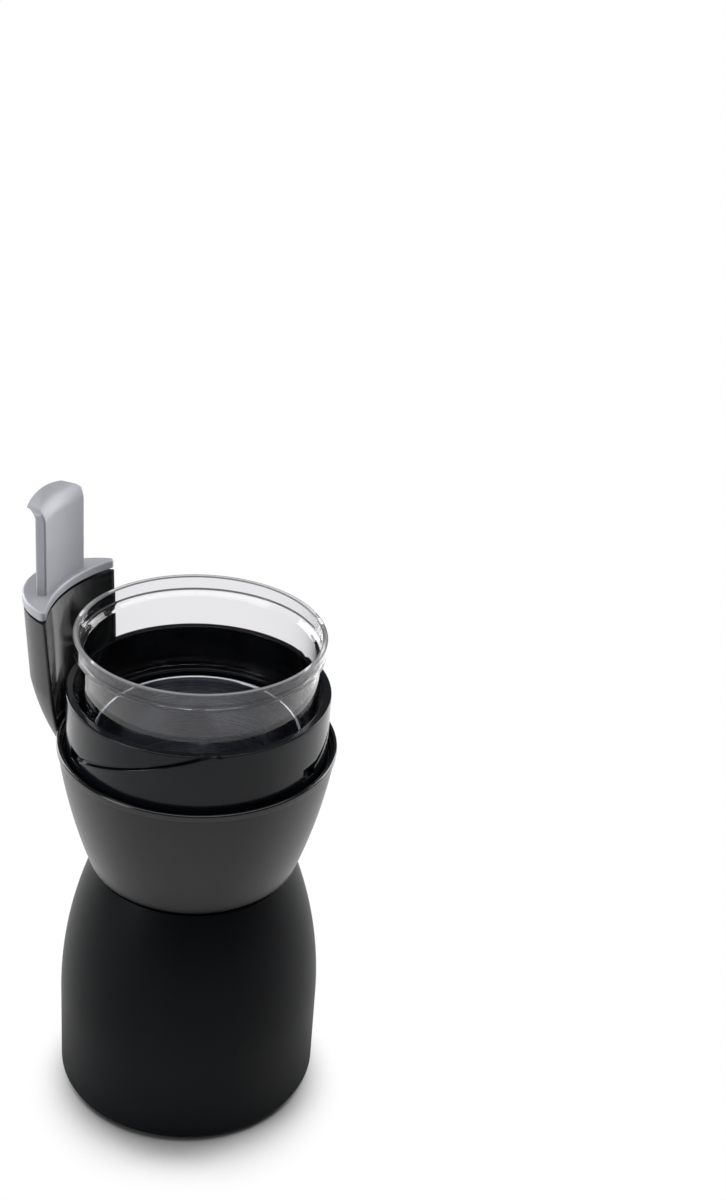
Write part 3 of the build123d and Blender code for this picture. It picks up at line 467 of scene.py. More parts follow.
class Look(Enum):
    """Every finish on the grinder."""

    # The lower shell's colour is set darker and bluer than the upper shell's, though both are one
    # satin black: painted shade.
    BASE_BLACK = MouldedPlastic("base_black", (0.0005, 0.0009, 0.0018), 0.42, 0.09)
    BOWL_BLACK = MouldedPlastic("bowl_black", (0.004, 0.004, 0.0048), 0.34, 0.34)
    RIM_BLACK = MouldedPlastic("rim_black", (0.004, 0.004, 0.005), 0.12, **POLISHED)
    COLLAR_BLACK = MouldedPlastic("collar_black", (0.0030, 0.0036, 0.0050), 0.15, 0.24)
    COLUMN_BLACK = MouldedPlastic("column_black", (0.015, 0.015, 0.016), 0.40, 0.4)
    PANEL_BLACK = MouldedPlastic("panel_black", PANEL_TINT, 0.12, 0.36, 0.1, **POLISHED)
    COVER_BLACK = MouldedPlastic("cover_black", (0.020, 0.020, 0.021), 0.5, 0.4)
    CLEAR = ClearPlastic("clear_plastic")
    # Grey lines painted on the clear ring's edges: painted shade and painted reflection.
    CLEAR_EDGE = PaintedEdgeLines("clear_plastic_edge")
    BOWL_STEEL = TurnedSteel("bowl_steel", (0.30, 0.31, 0.34), 0.26)
    BLADE_STEEL = WornMetal("blade_steel", (0.50, 0.50, 0.53), 0.24)
    SILVER = SilverPaint("lever_silver")
    PLATED = WornMetal("plated_steel")
    ALLOY = WornMetal("cast_alloy", (0.6, 0.61, 0.62), 0.5)
    LAMINATION = WornMetal("lamination_steel", (0.32, 0.33, 0.35), 0.45)
    COPPER = WornMetal("enamelled_copper", (0.62, 0.26, 0.12), 0.3)
    BRONZE = WornMetal("sintered_bronze", (0.55, 0.4, 0.22), 0.55)
    RUBBER = SoftRubber("soft_rubber")
    NYLON = MouldedPlastic("pale_nylon", (0.5, 0.5, 0.48), 0.5)
    RED_NYLON = MouldedPlastic("red_nylon", (0.5, 0.05, 0.03), 0.4)

    def material(self) -> bpy.types.Material:
        """The look's material."""
        return self.value.material()


# Mesh building


@dataclass
class Profile:
    """A closed outline in the (radius, height) plane, whose corners may be rounded."""

    corners: list[Place] = field(default_factory=list)
    arc_steps: int = 6

    def to(self, *places: Sequence[float]) -> "Profile":
        """Add corners, each given by its radius, its height and, where it has one, its rounding."""
        self.corners += [(*place, 0.0)[:3] for place in places]
        return self

    def curve(self, radius_at: RadiusAt, low: float, high: float, steps: int) -> "Profile":
        """Add the points of a curve from one height to another, in a number of steps."""
        heights = [low + (high - low) * step / steps for step in range(steps + 1)]
        return self.to(*((radius_at(height), height) for height in heights))

    def points(self) -> list[Point]:
        """Work the outline out.

        Returns:
            Its points, with rounded corners and short holding spans beside them.
        """
        made: list[Point] = []
        for index, (radius, height, rounding) in enumerate(self.corners):
            here = Vector((radius, height))
            if rounding > 0.0:
                before = Vector(self.corners[index - 1][:2])
                after = Vector(self.corners[(index + 1) % len(self.corners)][:2])
                made += self.arc(before, here, after, rounding)
            else:
                made.append((here.x, here.y))
        return made

    def arc(self, before: Vector, here: Vector, after: Vector, rounding: float) -> list[Point]:
        """Round one corner.

        Args:
            before: The corner before.
            here: The corner to round.
            after: The corner after.
            rounding: Radius of the rounding.

        Returns:
            Points from one tangent point to the other, with holding points beyond them.
        """
        back = (before - here).normalized()
        forward = (after - here).normalized()
        half = math.acos(max(-1.0, min(1.0, back.dot(forward)))) / 2
        reach = rounding / math.tan(half)
        centre = here + (back + forward).normalized() * (rounding / math.sin(half))
        start = here + back * reach - centre
        end = here + forward * reach - centre
        turn = math.atan2(start.x * end.y - start.y * end.x, start.dot(end))
        points = self.hold(here, back, reach, (before - here).length)
        for step in range(self.arc_steps + 1):
            angle = turn * step / self.arc_steps
            cosine, sine = math.cos(angle), math.sin(angle)
            across, rise = start.x * cosine - start.y * sine, start.x * sine + start.y * cosine
            points.append(centre + Vector((across, rise)))
        points += self.hold(here, forward, reach, (after - here).length)
        return [(point.x, point.y) for point in points]

    @staticmethod
    def hold(here: Vector, along: Vector, reach: float, length: float) -> list[Vector]:
        """One point just past a rounding, or none where the side is too short for it."""
        past = HOLD_PLACE * reach
        return [here + along * past] if past < HOLD_LIMIT * length else []


def mesh_object(name: str, shape: Shape, sharp: float | None = None) -> Piece:
    """Turn a shape into an object at the origin.

    Args:
        name: The piece's name.
        shape: The shape, in metres. It is freed.
        sharp: Angle in degrees past which an edge stays sharp, or None for none.

    Returns:
        The new object.
    """
    bmesh.ops.recalc_face_normals(shape, faces=shape.faces[:])
    for face in shape.faces:
        face.smooth = True
    if sharp is not None:
        limit = math.radians(sharp)
        for edge in shape.edges:
            edge.smooth = len(edge.link_faces) == 2 and edge.calc_face_angle() < limit
    mesh = bpy.data.meshes.new(name)
    shape.to_mesh(mesh)
    shape.free()
    made = bpy.data.objects.new(name, mesh)
    bpy.context.scene.collection.objects.link(made)
    return made


def merged_copy(mesh: bpy.types.Mesh, double: float) -> Shape:
    """Take a mesh as a shape and merge its doubles.

    Args:
        mesh: The mesh.
        double: Distance in metres under which two points are one.

    Returns:
        The shape.
    """
    shape = bmesh.new()
    shape.from_mesh(mesh)
    bmesh.ops.remove_doubles(shape, verts=shape.verts[:], dist=double)
    return shape


def skinned(columns: Sequence[Sequence[Vector]]) -> Shape:
    """Join closed columns of points, in order round an axis, into a closed shape.

    Args:
        columns: Columns of the same length, in metres.

    Returns:
        The shape, with its doubles merged.
    """
    shape = bmesh.new()
    rows = [[shape.verts.new(point) for point in column] for column in columns]
    count = len(rows[0])
    for step, here in enumerate(rows):
        there = rows[(step + 1) % len(rows)]
        for index in range(count):
            nearby = (index + 1) % count
            shape.faces.new((here[index], there[index], there[nearby], here[nearby]))
    bmesh.ops.remove_doubles(shape, verts=shape.verts[:], dist=DOUBLE)
    bmesh.ops.dissolve_degenerate(shape, edges=shape.edges[:], dist=SLIVER)
    loose = [edge for edge in shape.edges if not edge.link_faces]
    bmesh.ops.delete(shape, geom=loose, context="EDGES")
    return shape


def spoke(outline: Iterable[Point], angle: float) -> list[Vector]:
    """Stand an outline at an angle in degrees round the vertical axis, in metres."""
    cosine, sine = math.cos(math.radians(angle)) * MM, math.sin(math.radians(angle)) * MM
    return [Vector((radius * cosine, radius * sine, height * MM)) for radius, height in outline]


def turned(profile: Profile, segments: int = 256) -> Shape:
    """Turn a profile about the vertical axis, in a number of steps, into a shape in metres."""
    outline = profile.points()
    return skinned([spoke(outline, 360 * step / segments) for step in range(segments)])


def finished(piece: Piece) -> Piece:
    """Turn a piece's modifiers into a plain mesh.

    Args:
        piece: The piece.

    Returns:
        The same object, without modifiers.
    """
    graph = bpy.context.evaluated_depsgraph_get()
    mesh = bpy.data.meshes.new_from_object(piece.evaluated_get(graph), depsgraph=graph)
    piece.modifiers.clear()
    piece.data = mesh
    mesh.name = piece.name
    return piece


def rounded_copy(name: str, node: str, rounding: float) -> Piece:
    """Copy a CAD node's mesh, merged, with rounded edges.

    Args:
        name: The new piece's name.
        node: The CAD node.
        rounding: Width of the rounding on its edges.

    Returns:
        The new object.
    """
    shape = merged_copy(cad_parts[node].data, COPY_DOUBLE)
    bmesh.ops.dissolve_degenerate(shape, edges=shape.edges[:], dist=COPY_SLIVER)
    bmesh.ops.dissolve_limit(shape, angle_limit=FLAT, verts=shape.verts[:], edges=shape.edges[:])
    made = mesh_object(name, shape)
    bevel = made.modifiers.new("rounding", "BEVEL")
    bevel.width = rounding * MM
    bevel.segments = 3
    bevel.limit_method = "ANGLE"
    bevel.angle_limit = ROUNDED
    bevel.miter_outer = "MITER_ARC"
    made.modifiers.new("flat_faces", "WEIGHTED_NORMAL").weight = 100
    return finished(made)


def new_tree(name: str, inputs: dict[str, str]) -> tuple[Graph, bpy.types.NodeOutputs]:
    """Start a Geometry Nodes tree.

    Args:
        name: The tree's name.
        inputs: Name to kind of each input.

    Returns:
        The tree's graph and the sockets that its inputs arrive on.
    """
    graph = Graph(bpy.data.node_groups.new(name, "GeometryNodeTree"))
    sockets = graph.tree.interface
    for label, kind in inputs.items():
        sockets.new_socket(name=label, in_out="INPUT", socket_type=f"NodeSocket{kind}")
    sockets.new_socket(name="Geometry", in_out="OUTPUT", socket_type="NodeSocketGeometry")
    return graph, graph.node("NodeGroupInput").outputs


def end_tree(graph: Graph, geometry: Socket, material: Socket) -> None:
    """End a Geometry Nodes tree in real geometry with its material.

    Args:
        graph: The tree's graph.
        geometry: What the tree made.
        material: The socket that the material arrives on.
    """
    real = graph.output("GeometryNodeRealizeInstances", {0: geometry})
    painted = graph.output("GeometryNodeSetMaterial", {"Geometry": real, "Material": material})
    graph.node("NodeGroupOutput", {0: painted})


def by_nodes(name: str, tree: bpy.types.NodeTree, values: dict[str, object]) -> Piece:
    """Run a Geometry Nodes tree and keep what it makes as a plain mesh.

    Args:
        name: The new piece's name.
        tree: The tree.
        values: Input name to value.

    Returns:
        The new object.
    """
    made = bpy.data.objects.new(name, bpy.data.meshes.new(name))
    bpy.context.scene.collection.objects.link(made)
    modifier = made.modifiers.new("shape", "NODES")
    modifier.node_group = tree
    for socket in tree.interface.items_tree:
        if socket.name in values:
            modifier[socket.identifier] = values[socket.name]
    return finished(made)


class Layout(Enum):
    """How copies of a small piece are laid out."""

    RING = "ring"
    ROW = "row"


@dataclass(frozen=True)
class Repeated:
    """Copies of a small piece, in a ring about the vertical axis or in a row up it."""

    layout: Layout
    count: int
    reach: float
    start: float = 0.0
    height: float = 0.0

    def tree(self) -> bpy.types.NodeTree:
        """Give the Geometry Nodes tree of this layout.

        Returns:
            The tree, made on first use.
        """
        name = f"copies_in_a_{self.layout.value}"
        found = bpy.data.node_groups.get(name)
        if found is not None:
            return found
        sizes = {"Count": "Int", "Reach": "Float", "Start": "Float", "Height": "Float"}
        graph, given = new_tree(name, {**sizes, "Piece": "Object", "Material": "Material"})
        lift = graph.upright(given["Height"])
        piece = graph.output("GeometryNodeObjectInfo", {"Object": given["Piece"]}, "Geometry")
        if self.layout is Layout.RING:
            ring = {"Vertices": given["Count"], "Radius": given["Reach"]}
            points = graph.output("GeometryNodeMeshCircle", ring)
            turn = graph.upright(given["Start"])
            move = {"Geometry": points, "Translation": lift, "Rotation": turn}
            points = graph.output("GeometryNodeTransform", move)
            index = graph.value("GeometryNodeInputIndex", {})
            turns = index * (2 * math.pi) / Value(graph, given["Count"])
            spin = graph.upright(turns + Value(graph, given["Start"]))
        else:
            step = graph.upright(given["Reach"])
            row = {"Count": given["Count"], "Start Location": lift, "Offset": step}
            points = graph.output("GeometryNodeMeshLine", row, mode="OFFSET")
            spin = graph.upright(given["Start"])
        stood = {"Points": points, "Instance": piece, "Rotation": spin}
        end_tree(graph, graph.output("GeometryNodeInstanceOnPoints", stood), given["Material"])
        return graph.tree

    def copies(self, name: str, profile: Profile, look: Look, segments: int) -> Piece:
        """Lay the copies out as one plain mesh.

        Args:
            name: The new piece's name.
            profile: Profile of one copy, turned about the origin.
            look: The copies' finish.
            segments: Steps round a copy.

        Returns:
            The new object.
        """
        single = mesh_object(f"{name}_single", turned(profile, segments))
        values = {
            "Count": self.count,
            "Reach": self.reach * MM,
            "Start": math.radians(self.start),
            "Height": self.height * MM,
            "Piece": single,
            "Material": look.material(),
        }
        made = by_nodes(name, self.tree(), values)
        bpy.data.objects.remove(single)
        return made


@dataclass(frozen=True)
class Coil:
    """An open helical spring, upright on its foot."""

    radius: float
    wire: float
    length: float
    turns: float
    foot: Place
    steps: int = 40
    wire_steps: int = 12
    sharp: float = 60.0

    def tree(self) -> bpy.types.NodeTree:
        """Make the Geometry Nodes tree of a spring.

        Returns:
            The tree.
        """
        sizes = dict.fromkeys(("Turns", "Coil radius", "Wire radius", "Rise"), "Float")
        graph, given = new_tree("open_spring", {**sizes, "Material": "Material"})
        helix = {
            "Resolution": self.steps,
            "Rotations": given["Turns"],
            "Start Radius": given["Coil radius"],
            "End Radius": given["Coil radius"],
            "Height": given["Rise"],
        }
        line = graph.output("GeometryNodeCurveSpiral", helix)
        section = {"Resolution": self.wire_steps, "Radius": given["Wire radius"]}
        wire = graph.output("GeometryNodeCurvePrimitiveCircle", section, mode="RADIUS")
        swept = {"Curve": line, "Profile Curve": wire, "Fill Caps": True}
        end_tree(graph, graph.output("GeometryNodeCurveToMesh", swept), given["Material"])
        return graph.tree

    def build(self, name: str, look: Look) -> Piece:
        """Make the spring.

        Args:
            name: The new piece's name.
            look: Its finish.

        Returns:
            The new object.
        """
        values = {
            "Turns": self.turns,
            "Coil radius": self.radius * MM,
            "Wire radius": self.wire * MM,
            "Rise": (self.length - 2 * self.wire) * MM,
            "Material": look.material(),
        }
        made = by_nodes(name, self.tree(), values)
        x, y, z = self.foot
        made.data.transform(Matrix.Translation(Vector((x, y, z + self.wire)) * MM))
        shape = merged_copy(made.data, DOUBLE)
        bpy.data.objects.remove(made)
        return mesh_object(name, shape, self.sharp)


def paint(piece: Piece, look: Look) -> None:
    """Give a piece one finish."""
    piece.data.materials.clear()
    piece.data.materials.append(look.material())


def dress(piece: Piece, look: Look, body: str, slot: str, *nodes: str) -> None:
    """Give a new piece its finish, its body and what it stands for.

    Args:
        piece: The piece.
        look: Its finish.
        body: The CAD body that it rides on.
        slot: The record's material slot; not used.
        nodes: The CAD nodes that it replaces.
    """
    paint(piece, look)
    if nodes:
        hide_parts(*nodes)
    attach(piece, body)
    faces, for_nodes = len(piece.data.polygons), ", ".join(nodes) or "nothing"
    log.info("%s: %d faces, rides on %s, stands for %s", piece.name, faces, body, for_nodes)


def repaint(look: Look, *nodes: str) -> None:
    """Give CAD nodes that stay their finish.

    Args:
        look: The finish.
        nodes: The CAD nodes.
    """
    for node in nodes:
        paint(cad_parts[node], look)
        log.info("%s: CAD node kept, %s", node, look.name.lower())


# The grinder's sub-assemblies


@dataclass
class Housing:
    """The two black shells, the rim and what stands under them."""

    lift: float = 1.5
    waist_height: float = 102.5
    mouth_height: float = 154.6
    base_radius: float = 52.5
    bell_start: float = 37.5
    waist_radius: float = 39.7
    wall: float = 2.4
    mouth_radius: float = 53.1
    mouth_wall: float = 1.9
    belly: Point = (49.0, 131.5)
    shoulder: Point = (42.0, 107.0)
    seam: float = 0.3
    neck_gap: float = 0.15
    neck_length: float = 2.0
    floor_thickness: float = 2.5
    floor_bore: float = 8.0
    ledge: float = 150.0
    ledge_bore: float = 41.6
    rim_bore: float = 51.9
    rim_radius: float = 53.6
    rim_height: float = 2.7
    sole_clear: float = 4.0
    bend_clear: float = 1.5
    waist_clear: float = 1.2
    shoulder_clear: float = 4.5
    mouth_clear: float = 0.8
    side_steps: int = 10
    bell_steps: int = 42
    shell_steps: int = 40
    inner_steps: int = 30
    foot_count: int = 4
    foot_radius: float = 6.0
    foot_top: float = 2.9
    foot_circle: float = 34.0
    foot_turn: float = 45.0
    dimple: Point = (2.6, 0.4)
    dimple_mouth: float = 3.0
    cord_height: float = 17.0
    cord_bore: float = 3.3
    bush_radius: float = 4.9
    bush_start: float = 48.4
    flange_radius: float = 6.8
    flange_thickness: float = 1.6
    tail_start: float = 52.6
    tail_end: float = 69.2
    tail_radii: Point = (4.5, 3.85)
    rib_count: int = 4
    rib_root: float = 3.6
    rib_width: float = 1.2
    rib_pitch: float = 3.0
    rib_start: float = 2.8

    def bell_radius(self, height: float, inset: float = 0.0) -> float:
        """Work out the lower shell's radius.

        Args:
            height: Height above the floor.
            inset: How far inside the outer face.

        Returns:
            The radius.
        """
        drop = self.waist_height - self.bell_start
        taper = self.base_radius - self.waist_radius
        arc = (drop**2 + taper**2) / (2 * taper)
        rise = max(height - self.bell_start, 0.0)
        return self.base_radius - arc + math.sqrt((arc - inset)**2 - rise**2)

    def shell_arc(self) -> tuple[float, float, float]:
        """Lay a circle through three places on the upper shell's side.

        Returns:
            Its centre's radius and height, and its own radius.
        """
        x1, y1 = self.mouth_radius, self.mouth_height
        (x2, y2), (x3, y3) = self.belly, self.shoulder
        a, b, c, d = x2 - x1, y2 - y1, x3 - x1, y3 - y1
        e = (x2**2 - x1**2 + y2**2 - y1**2) / 2
        f = (x3**2 - x1**2 + y3**2 - y1**2) / 2
        x = (e * d - b * f) / (a * d - b * c)
        y = (a * f - e * c) / (a * d - b * c)
        return x, y, math.hypot(x1 - x, y1 - y)

    def shell_radius(self, height: float, inset: float = 0.0) -> float:
        """Radius of the upper shell at a height, or of a face inset into it."""
        x, y, arc = self.shell_arc()
        return x + math.sqrt((arc - inset)**2 - (height - y)**2)

    def lower_shell(self) -> Piece:
        """Build the bell on the table.

        Returns:
            The new piece.
        """
        low, side = self.lift, self.lift + self.sole_clear
        top, waist = self.waist_height, self.waist_height - self.waist_clear
        bend = self.bell_start + self.bend_clear
        inner, top_inner = self.base_radius - self.wall, self.bell_radius(top, self.wall)
        outline = Profile().to((inner, low, 0.5), (self.base_radius, low, 1.8))
        outline.curve(self.bell_radius, side, self.bell_start, self.side_steps)
        outline.curve(self.bell_radius, bend, waist, self.bell_steps)
        outline.to((self.waist_radius, top, 0.6), (top_inner, top, 0.4))
        outline.curve(lambda at: self.bell_radius(at, self.wall), waist, side, self.inner_steps)
        return mesh_object("bell_shell", turned(outline))

    def upper_shell(self) -> Piece:
        """Build the bowl-shaped shell above the waist.

        Returns:
            The new piece.
        """
        low, top = self.waist_height + self.seam, self.mouth_height
        side, mouth = low + self.shoulder_clear, top - self.mouth_clear
        inside = low + self.wall
        neck = self.bell_radius(self.waist_height, self.wall) - self.neck_gap
        foot = self.waist_height - self.neck_length
        floor = foot + self.floor_thickness
        rabbet = self.mouth_radius - self.mouth_wall
        ledge_low = self.ledge - self.wall
        outline = Profile().to((self.floor_bore, foot), (neck, foot, 0.4), (neck, low))
        outline.to((self.shell_radius(low), low, 4.0))
        outline.curve(self.shell_radius, side, mouth, self.shell_steps)
        outline.to((self.mouth_radius, top, 0.3), (rabbet, top, 0.2), (rabbet, self.ledge))
        outline.to((self.ledge_bore, self.ledge, 0.4), (self.ledge_bore, ledge_low, 0.4))
        inner = self.inner_steps
        outline.curve(lambda at: self.shell_radius(at, self.wall), ledge_low, inside, inner)
        outline.to((neck - self.wall, inside), (neck - self.wall, floor), (self.floor_bore, floor))
        return mesh_object("bowl_shell", turned(outline))

    def rim(self) -> Piece:
        """Build the glossy ring on the upper shell's mouth.

        Returns:
            The new piece.
        """
        low, top = self.mouth_height, self.mouth_height + self.rim_height
        outline = Profile().to((self.rim_bore, low, 0.3), (self.rim_radius, low, 0.3))
        outline.to((self.rim_radius, top, 0.75), (self.rim_bore, top, 0.7))
        return mesh_object("mouth_rim", turned(outline, segments=320))

    def feet(self) -> Piece:
        """Build four rubber pads with rounded edges and a dimple in each sole.

        Returns:
            The new piece.
        """
        radius, deep = self.dimple
        pad = Profile().to((0.0, deep), (radius, deep, 0.2), (self.dimple_mouth, 0.0, 0.2))
        pad.to((self.foot_radius, 0.0, 0.5), (self.foot_radius, self.foot_top, 0.2))
        pad.to((0.0, self.foot_top))
        ring = Repeated(Layout.RING, self.foot_count, self.foot_circle, self.foot_turn)
        return ring.copies("foot_pads", pad, Look.RUBBER, segments=48)

    def cord_tail(self) -> Piece:
        """Build the cord bush: flanges on both sides of the wall and a tail that tapers outwards.

        Returns:
            The new piece.
        """
        inside, outside, end = self.bush_start, self.tail_start, self.tail_end
        neck, flange, deep = self.bush_radius, self.flange_radius, self.flange_thickness
        thick, thin = self.tail_radii
        outline = Profile().to((self.cord_bore, inside, 0.2), (flange, inside, 0.3))
        outline.to((flange, inside + deep, 0.3), (neck, inside + deep))
        outline.to((neck, outside), (flange, outside, 0.3), (flange, outside + deep, 0.6))
        outline.to((thick, outside + deep, 0.3), (thin, end, 0.25), (self.cord_bore, end, 0.2))
        return self.towards_cord(mesh_object("cord_tail", turned(outline, segments=64)))

    def cord_ribs(self) -> Piece:
        """Build the bending ribs round the tail.

        Returns:
            The new piece.
        """
        root, top, width = self.rib_root, self.bush_radius, self.rib_width
        rib = Profile().to((root, 0.0), (top, 0.0, 0.35), (top, width, 0.35), (root, width))
        low = self.tail_start + self.rib_start
        row = Repeated(Layout.ROW, self.rib_count, self.rib_pitch, height=low)
        return self.towards_cord(row.copies("cord_ribs", rib, Look.RUBBER, segments=64))

    def towards_cord(self, piece: Piece) -> Piece:
        """Lay a piece that was turned about the vertical axis along the cord's axis.

        Args:
            piece: The piece.

        Returns:
            The same piece.
        """
        lay = Matrix.Rotation(math.radians(-90), 4, "X")
        piece.data.transform(Matrix.Translation((0.0, 0.0, self.cord_height * MM)) @ lay)
        return piece

    def build(self) -> None:
        """Build and dress the shells, the feet and the bush, and paint what stays as CAD."""
        dress(self.lower_shell(), Look.BASE_BLACK, "body", "satin_black", "lower_housing")
        dress(self.upper_shell(), Look.BOWL_BLACK, "body", "satin_black", "upper_housing")
        dress(self.rim(), Look.RIM_BLACK, "body", "gloss_black", "rim_ring")
        dress(self.feet(), Look.RUBBER, "body", "foot_rubber", "rubber_feet")
        dress(self.cord_tail(), Look.RUBBER, "body", "bush_rubber", "cord_bush")
        dress(self.cord_ribs(), Look.RUBBER, "body", "bush_rubber")
        repaint(Look.COVER_BLACK, "base_cover")
        repaint(Look.PLATED, "base_screws", "collar_screws", "column_screws")


@dataclass
class Collar:
    """The collar that takes the lid, with three thread ramps that rise to its top edge."""

    foot: float = 150.0
    top: float = 180.0
    radius: float = 50.0
    wall: float = 3.0
    edge: float = 0.5
    sharp: float = 40.0
    foot_reach: float = 51.05
    foot_clear: float = 0.5
    foot_thickness: float = 2.5
    shelf: float = 163.5
    shelf_thickness: float = 2.4
    shelf_bore: float = 41.4
    seat: float = 159.7
    seat_bore: float = 39.5
    rib_bore: float = 45.3
    rib_height: float = 2.0
    ramps: int = 3
    ramp_start: float = 227.0
    ramp_low: float = 160.0
    ramp_pitch: float = 105.0
    ramp_opening: float = 1.8
    ramp_depth: float = 1.6
    pocket_turn: float = 9.0
    pocket: Point = (158.2, 163.0)
    boss_count: int = 3
    boss_bore: float = 1.62
    boss_radius: float = 3.0
    boss_height: float = 8.0
    boss_circle: float = 45.0
    boss_turn: float = 60.0
    columns: int = 480
    low_rows: int = 12
    high_rows: int = 8
    edge_rows: tuple[float, ...] = (0.35, 0.6, 0.8, 0.93, 1.0)
    beside_ends: tuple[float, ...] = (-0.12, -0.02, 0.02, 0.12)
    # Rounded lip of a groove: how far past the groove's edge, and how deep there.
    lip: tuple[Point, ...] = (
        (0.45, 0.0),
        (0.2, 0.03),
        (0.06, 0.12),
        (0.0, 0.35),
        (0.0, 1.3),
        (-0.12, 1.52),
        (-0.35, 1.6),
    )

    def turn_into_ramp(self, angle: float) -> float:
        """How far an angle in degrees is past the start of its ramp."""
        return (angle - self.ramp_start) % (360.0 / self.ramps)

    def ramp_end(self) -> float:
        """Turn at which a ramp has left the top edge."""
        return (self.top - self.ramp_low + self.ramp_opening) * 360.0 / self.ramp_pitch

    def opening(self, turn: float) -> Point:
        """Find the lowest and highest point of the groove at a turn.

        Args:
            turn: Degrees past the start of the ramp.

        Returns:
            Heights; past the ramp's end they fall back to the next ramp's start.
        """
        if turn <= self.pocket_turn:
            return self.pocket
        end = self.ramp_end()
        if turn <= end:
            high = self.ramp_low + turn * self.ramp_pitch / 360.0
            return high - self.ramp_opening, high
        back = (turn - end) / (360.0 / self.ramps - end)
        return (
            self.top - back * (self.top - self.pocket[0]),
            self.top + self.ramp_opening - back * (self.top + self.ramp_opening - self.pocket[1]),
        )

    def outer_face(self, turn: float) -> list[Point]:
        """Draw the outer face at a turn, from the foot up to the top edge.

        Args:
            turn: Degrees past the start of the ramp.

        Returns:
            Points as (radius, height), as many at every turn.
        """
        low, high = self.opening(turn)
        deep = 1.0 if turn <= self.ramp_end() else 0.0
        base = self.foot + self.foot_thickness + self.foot_clear
        start = low - self.lip[0][0]
        rises = [(start - base) * step / self.low_rows for step in range(self.low_rows)]
        rows = [(base + rise, 0.0) for rise in rises]
        rows += [(low - out, deep * depth) for out, depth in self.lip]
        rows += [(high + out, deep * depth) for out, depth in reversed(self.lip)]
        last = max(high + self.lip[0][0], base)
        left = self.top - self.edge - last
        rows += [(last + left * (step + 1) / self.high_rows, 0.0) for step in range(self.high_rows)]
        rows += [(self.top - self.edge * (1 - part), 0.0) for part in self.edge_rows]
        return self.clipped(rows)

    def clipped(self, rows: list[Point]) -> list[Point]:
        """Keep rows of (height, depth) under the top edge and in order, and round that edge.

        Args:
            rows: Heights with the groove's depth there.

        Returns:
            Points as (radius, height).
        """
        made: list[Point] = []
        height, depth = rows[0]
        for next_height, next_depth in rows:
            if next_height >= self.top > height:
                part = (self.top - height) / (next_height - height)
                depth += part * (next_depth - depth)
                height = self.top
            elif self.top > next_height >= height:
                height, depth = next_height, next_depth
            above = max(height - (self.top - self.edge), 0.0)
            rounded = self.edge - math.sqrt(max(self.edge**2 - above**2, 0.0))
            made.append((self.radius - max(depth, rounded), height))
        return made

    def inner_face(self) -> list[Point]:
        """Draw the rest of the section.

        Returns:
            Points of the top edge, inner wall, hopper shelf, bowl seat and foot.
        """
        inner = self.radius - self.wall
        thick = self.shelf_bore + self.shelf_thickness
        shelf_low = self.shelf - self.shelf_thickness
        seat_low = self.seat - self.shelf_thickness
        rib = self.shelf + self.rib_height
        foot_top = self.foot + self.foot_thickness
        section = Profile().to((self.radius - self.ramp_depth, self.top), (inner, self.top, 0.45))
        section.to((inner, rib, 0.3), (self.rib_bore, rib, 0.4), (self.rib_bore, self.shelf, 0.2))
        section.to((self.shelf_bore, self.shelf, 0.4), (self.shelf_bore, self.seat, 0.2))
        section.to((self.seat_bore, self.seat, 0.3), (self.seat_bore, seat_low, 0.3))
        section.to((thick, seat_low), (thick, shelf_low), (inner, shelf_low), (inner, self.foot))
        section.to((self.foot_reach, self.foot, 0.2), (self.foot_reach, foot_top, 0.2))
        return section.to((self.radius, foot_top, 0.4)).points()

    def angles(self) -> list[float]:
        """Choose the angles of the columns.

        Returns:
            Even steps, with close pairs at both ends of every groove.
        """
        made = {360.0 * step / self.columns for step in range(self.columns)}
        for ramp in range(self.ramps):
            start = self.ramp_start + 360.0 * ramp / self.ramps
            for edge in (0.0, self.pocket_turn, self.ramp_end()):
                made |= {(start + edge + shift) % 360.0 for shift in self.beside_ends}
        return sorted(made)

    def ring(self) -> Piece:
        """Build the collar as one closed shape.

        Returns:
            The new piece.
        """
        inner = self.inner_face()
        columns = [
            spoke(self.outer_face(self.turn_into_ramp(angle)) + inner, angle)
            for angle in self.angles()
        ]
        return mesh_object("ramped_collar", skinned(columns), self.sharp)

    def bosses(self) -> Piece:
        """Build three screw bosses under the shelf.

        Returns:
            The new piece.
        """
        bore, radius, top = self.boss_bore, self.boss_radius, self.boss_height
        tube = Profile().to((bore, 0.0), (radius, 0.0, 0.2), (radius, top, 0.3), (bore, top))
        ring = Repeated(Layout.RING, self.boss_count, self.boss_circle, self.boss_turn, self.foot)
        return ring.copies("collar_bosses", tube, Look.COLLAR_BLACK, segments=40)

    def build(self) -> None:
        """Build and dress the collar."""
        dress(self.ring(), Look.COLLAR_BLACK, "body", "collar_black", "lid_collar")
        dress(self.bosses(), Look.COLLAR_BLACK, "body", "collar_black")


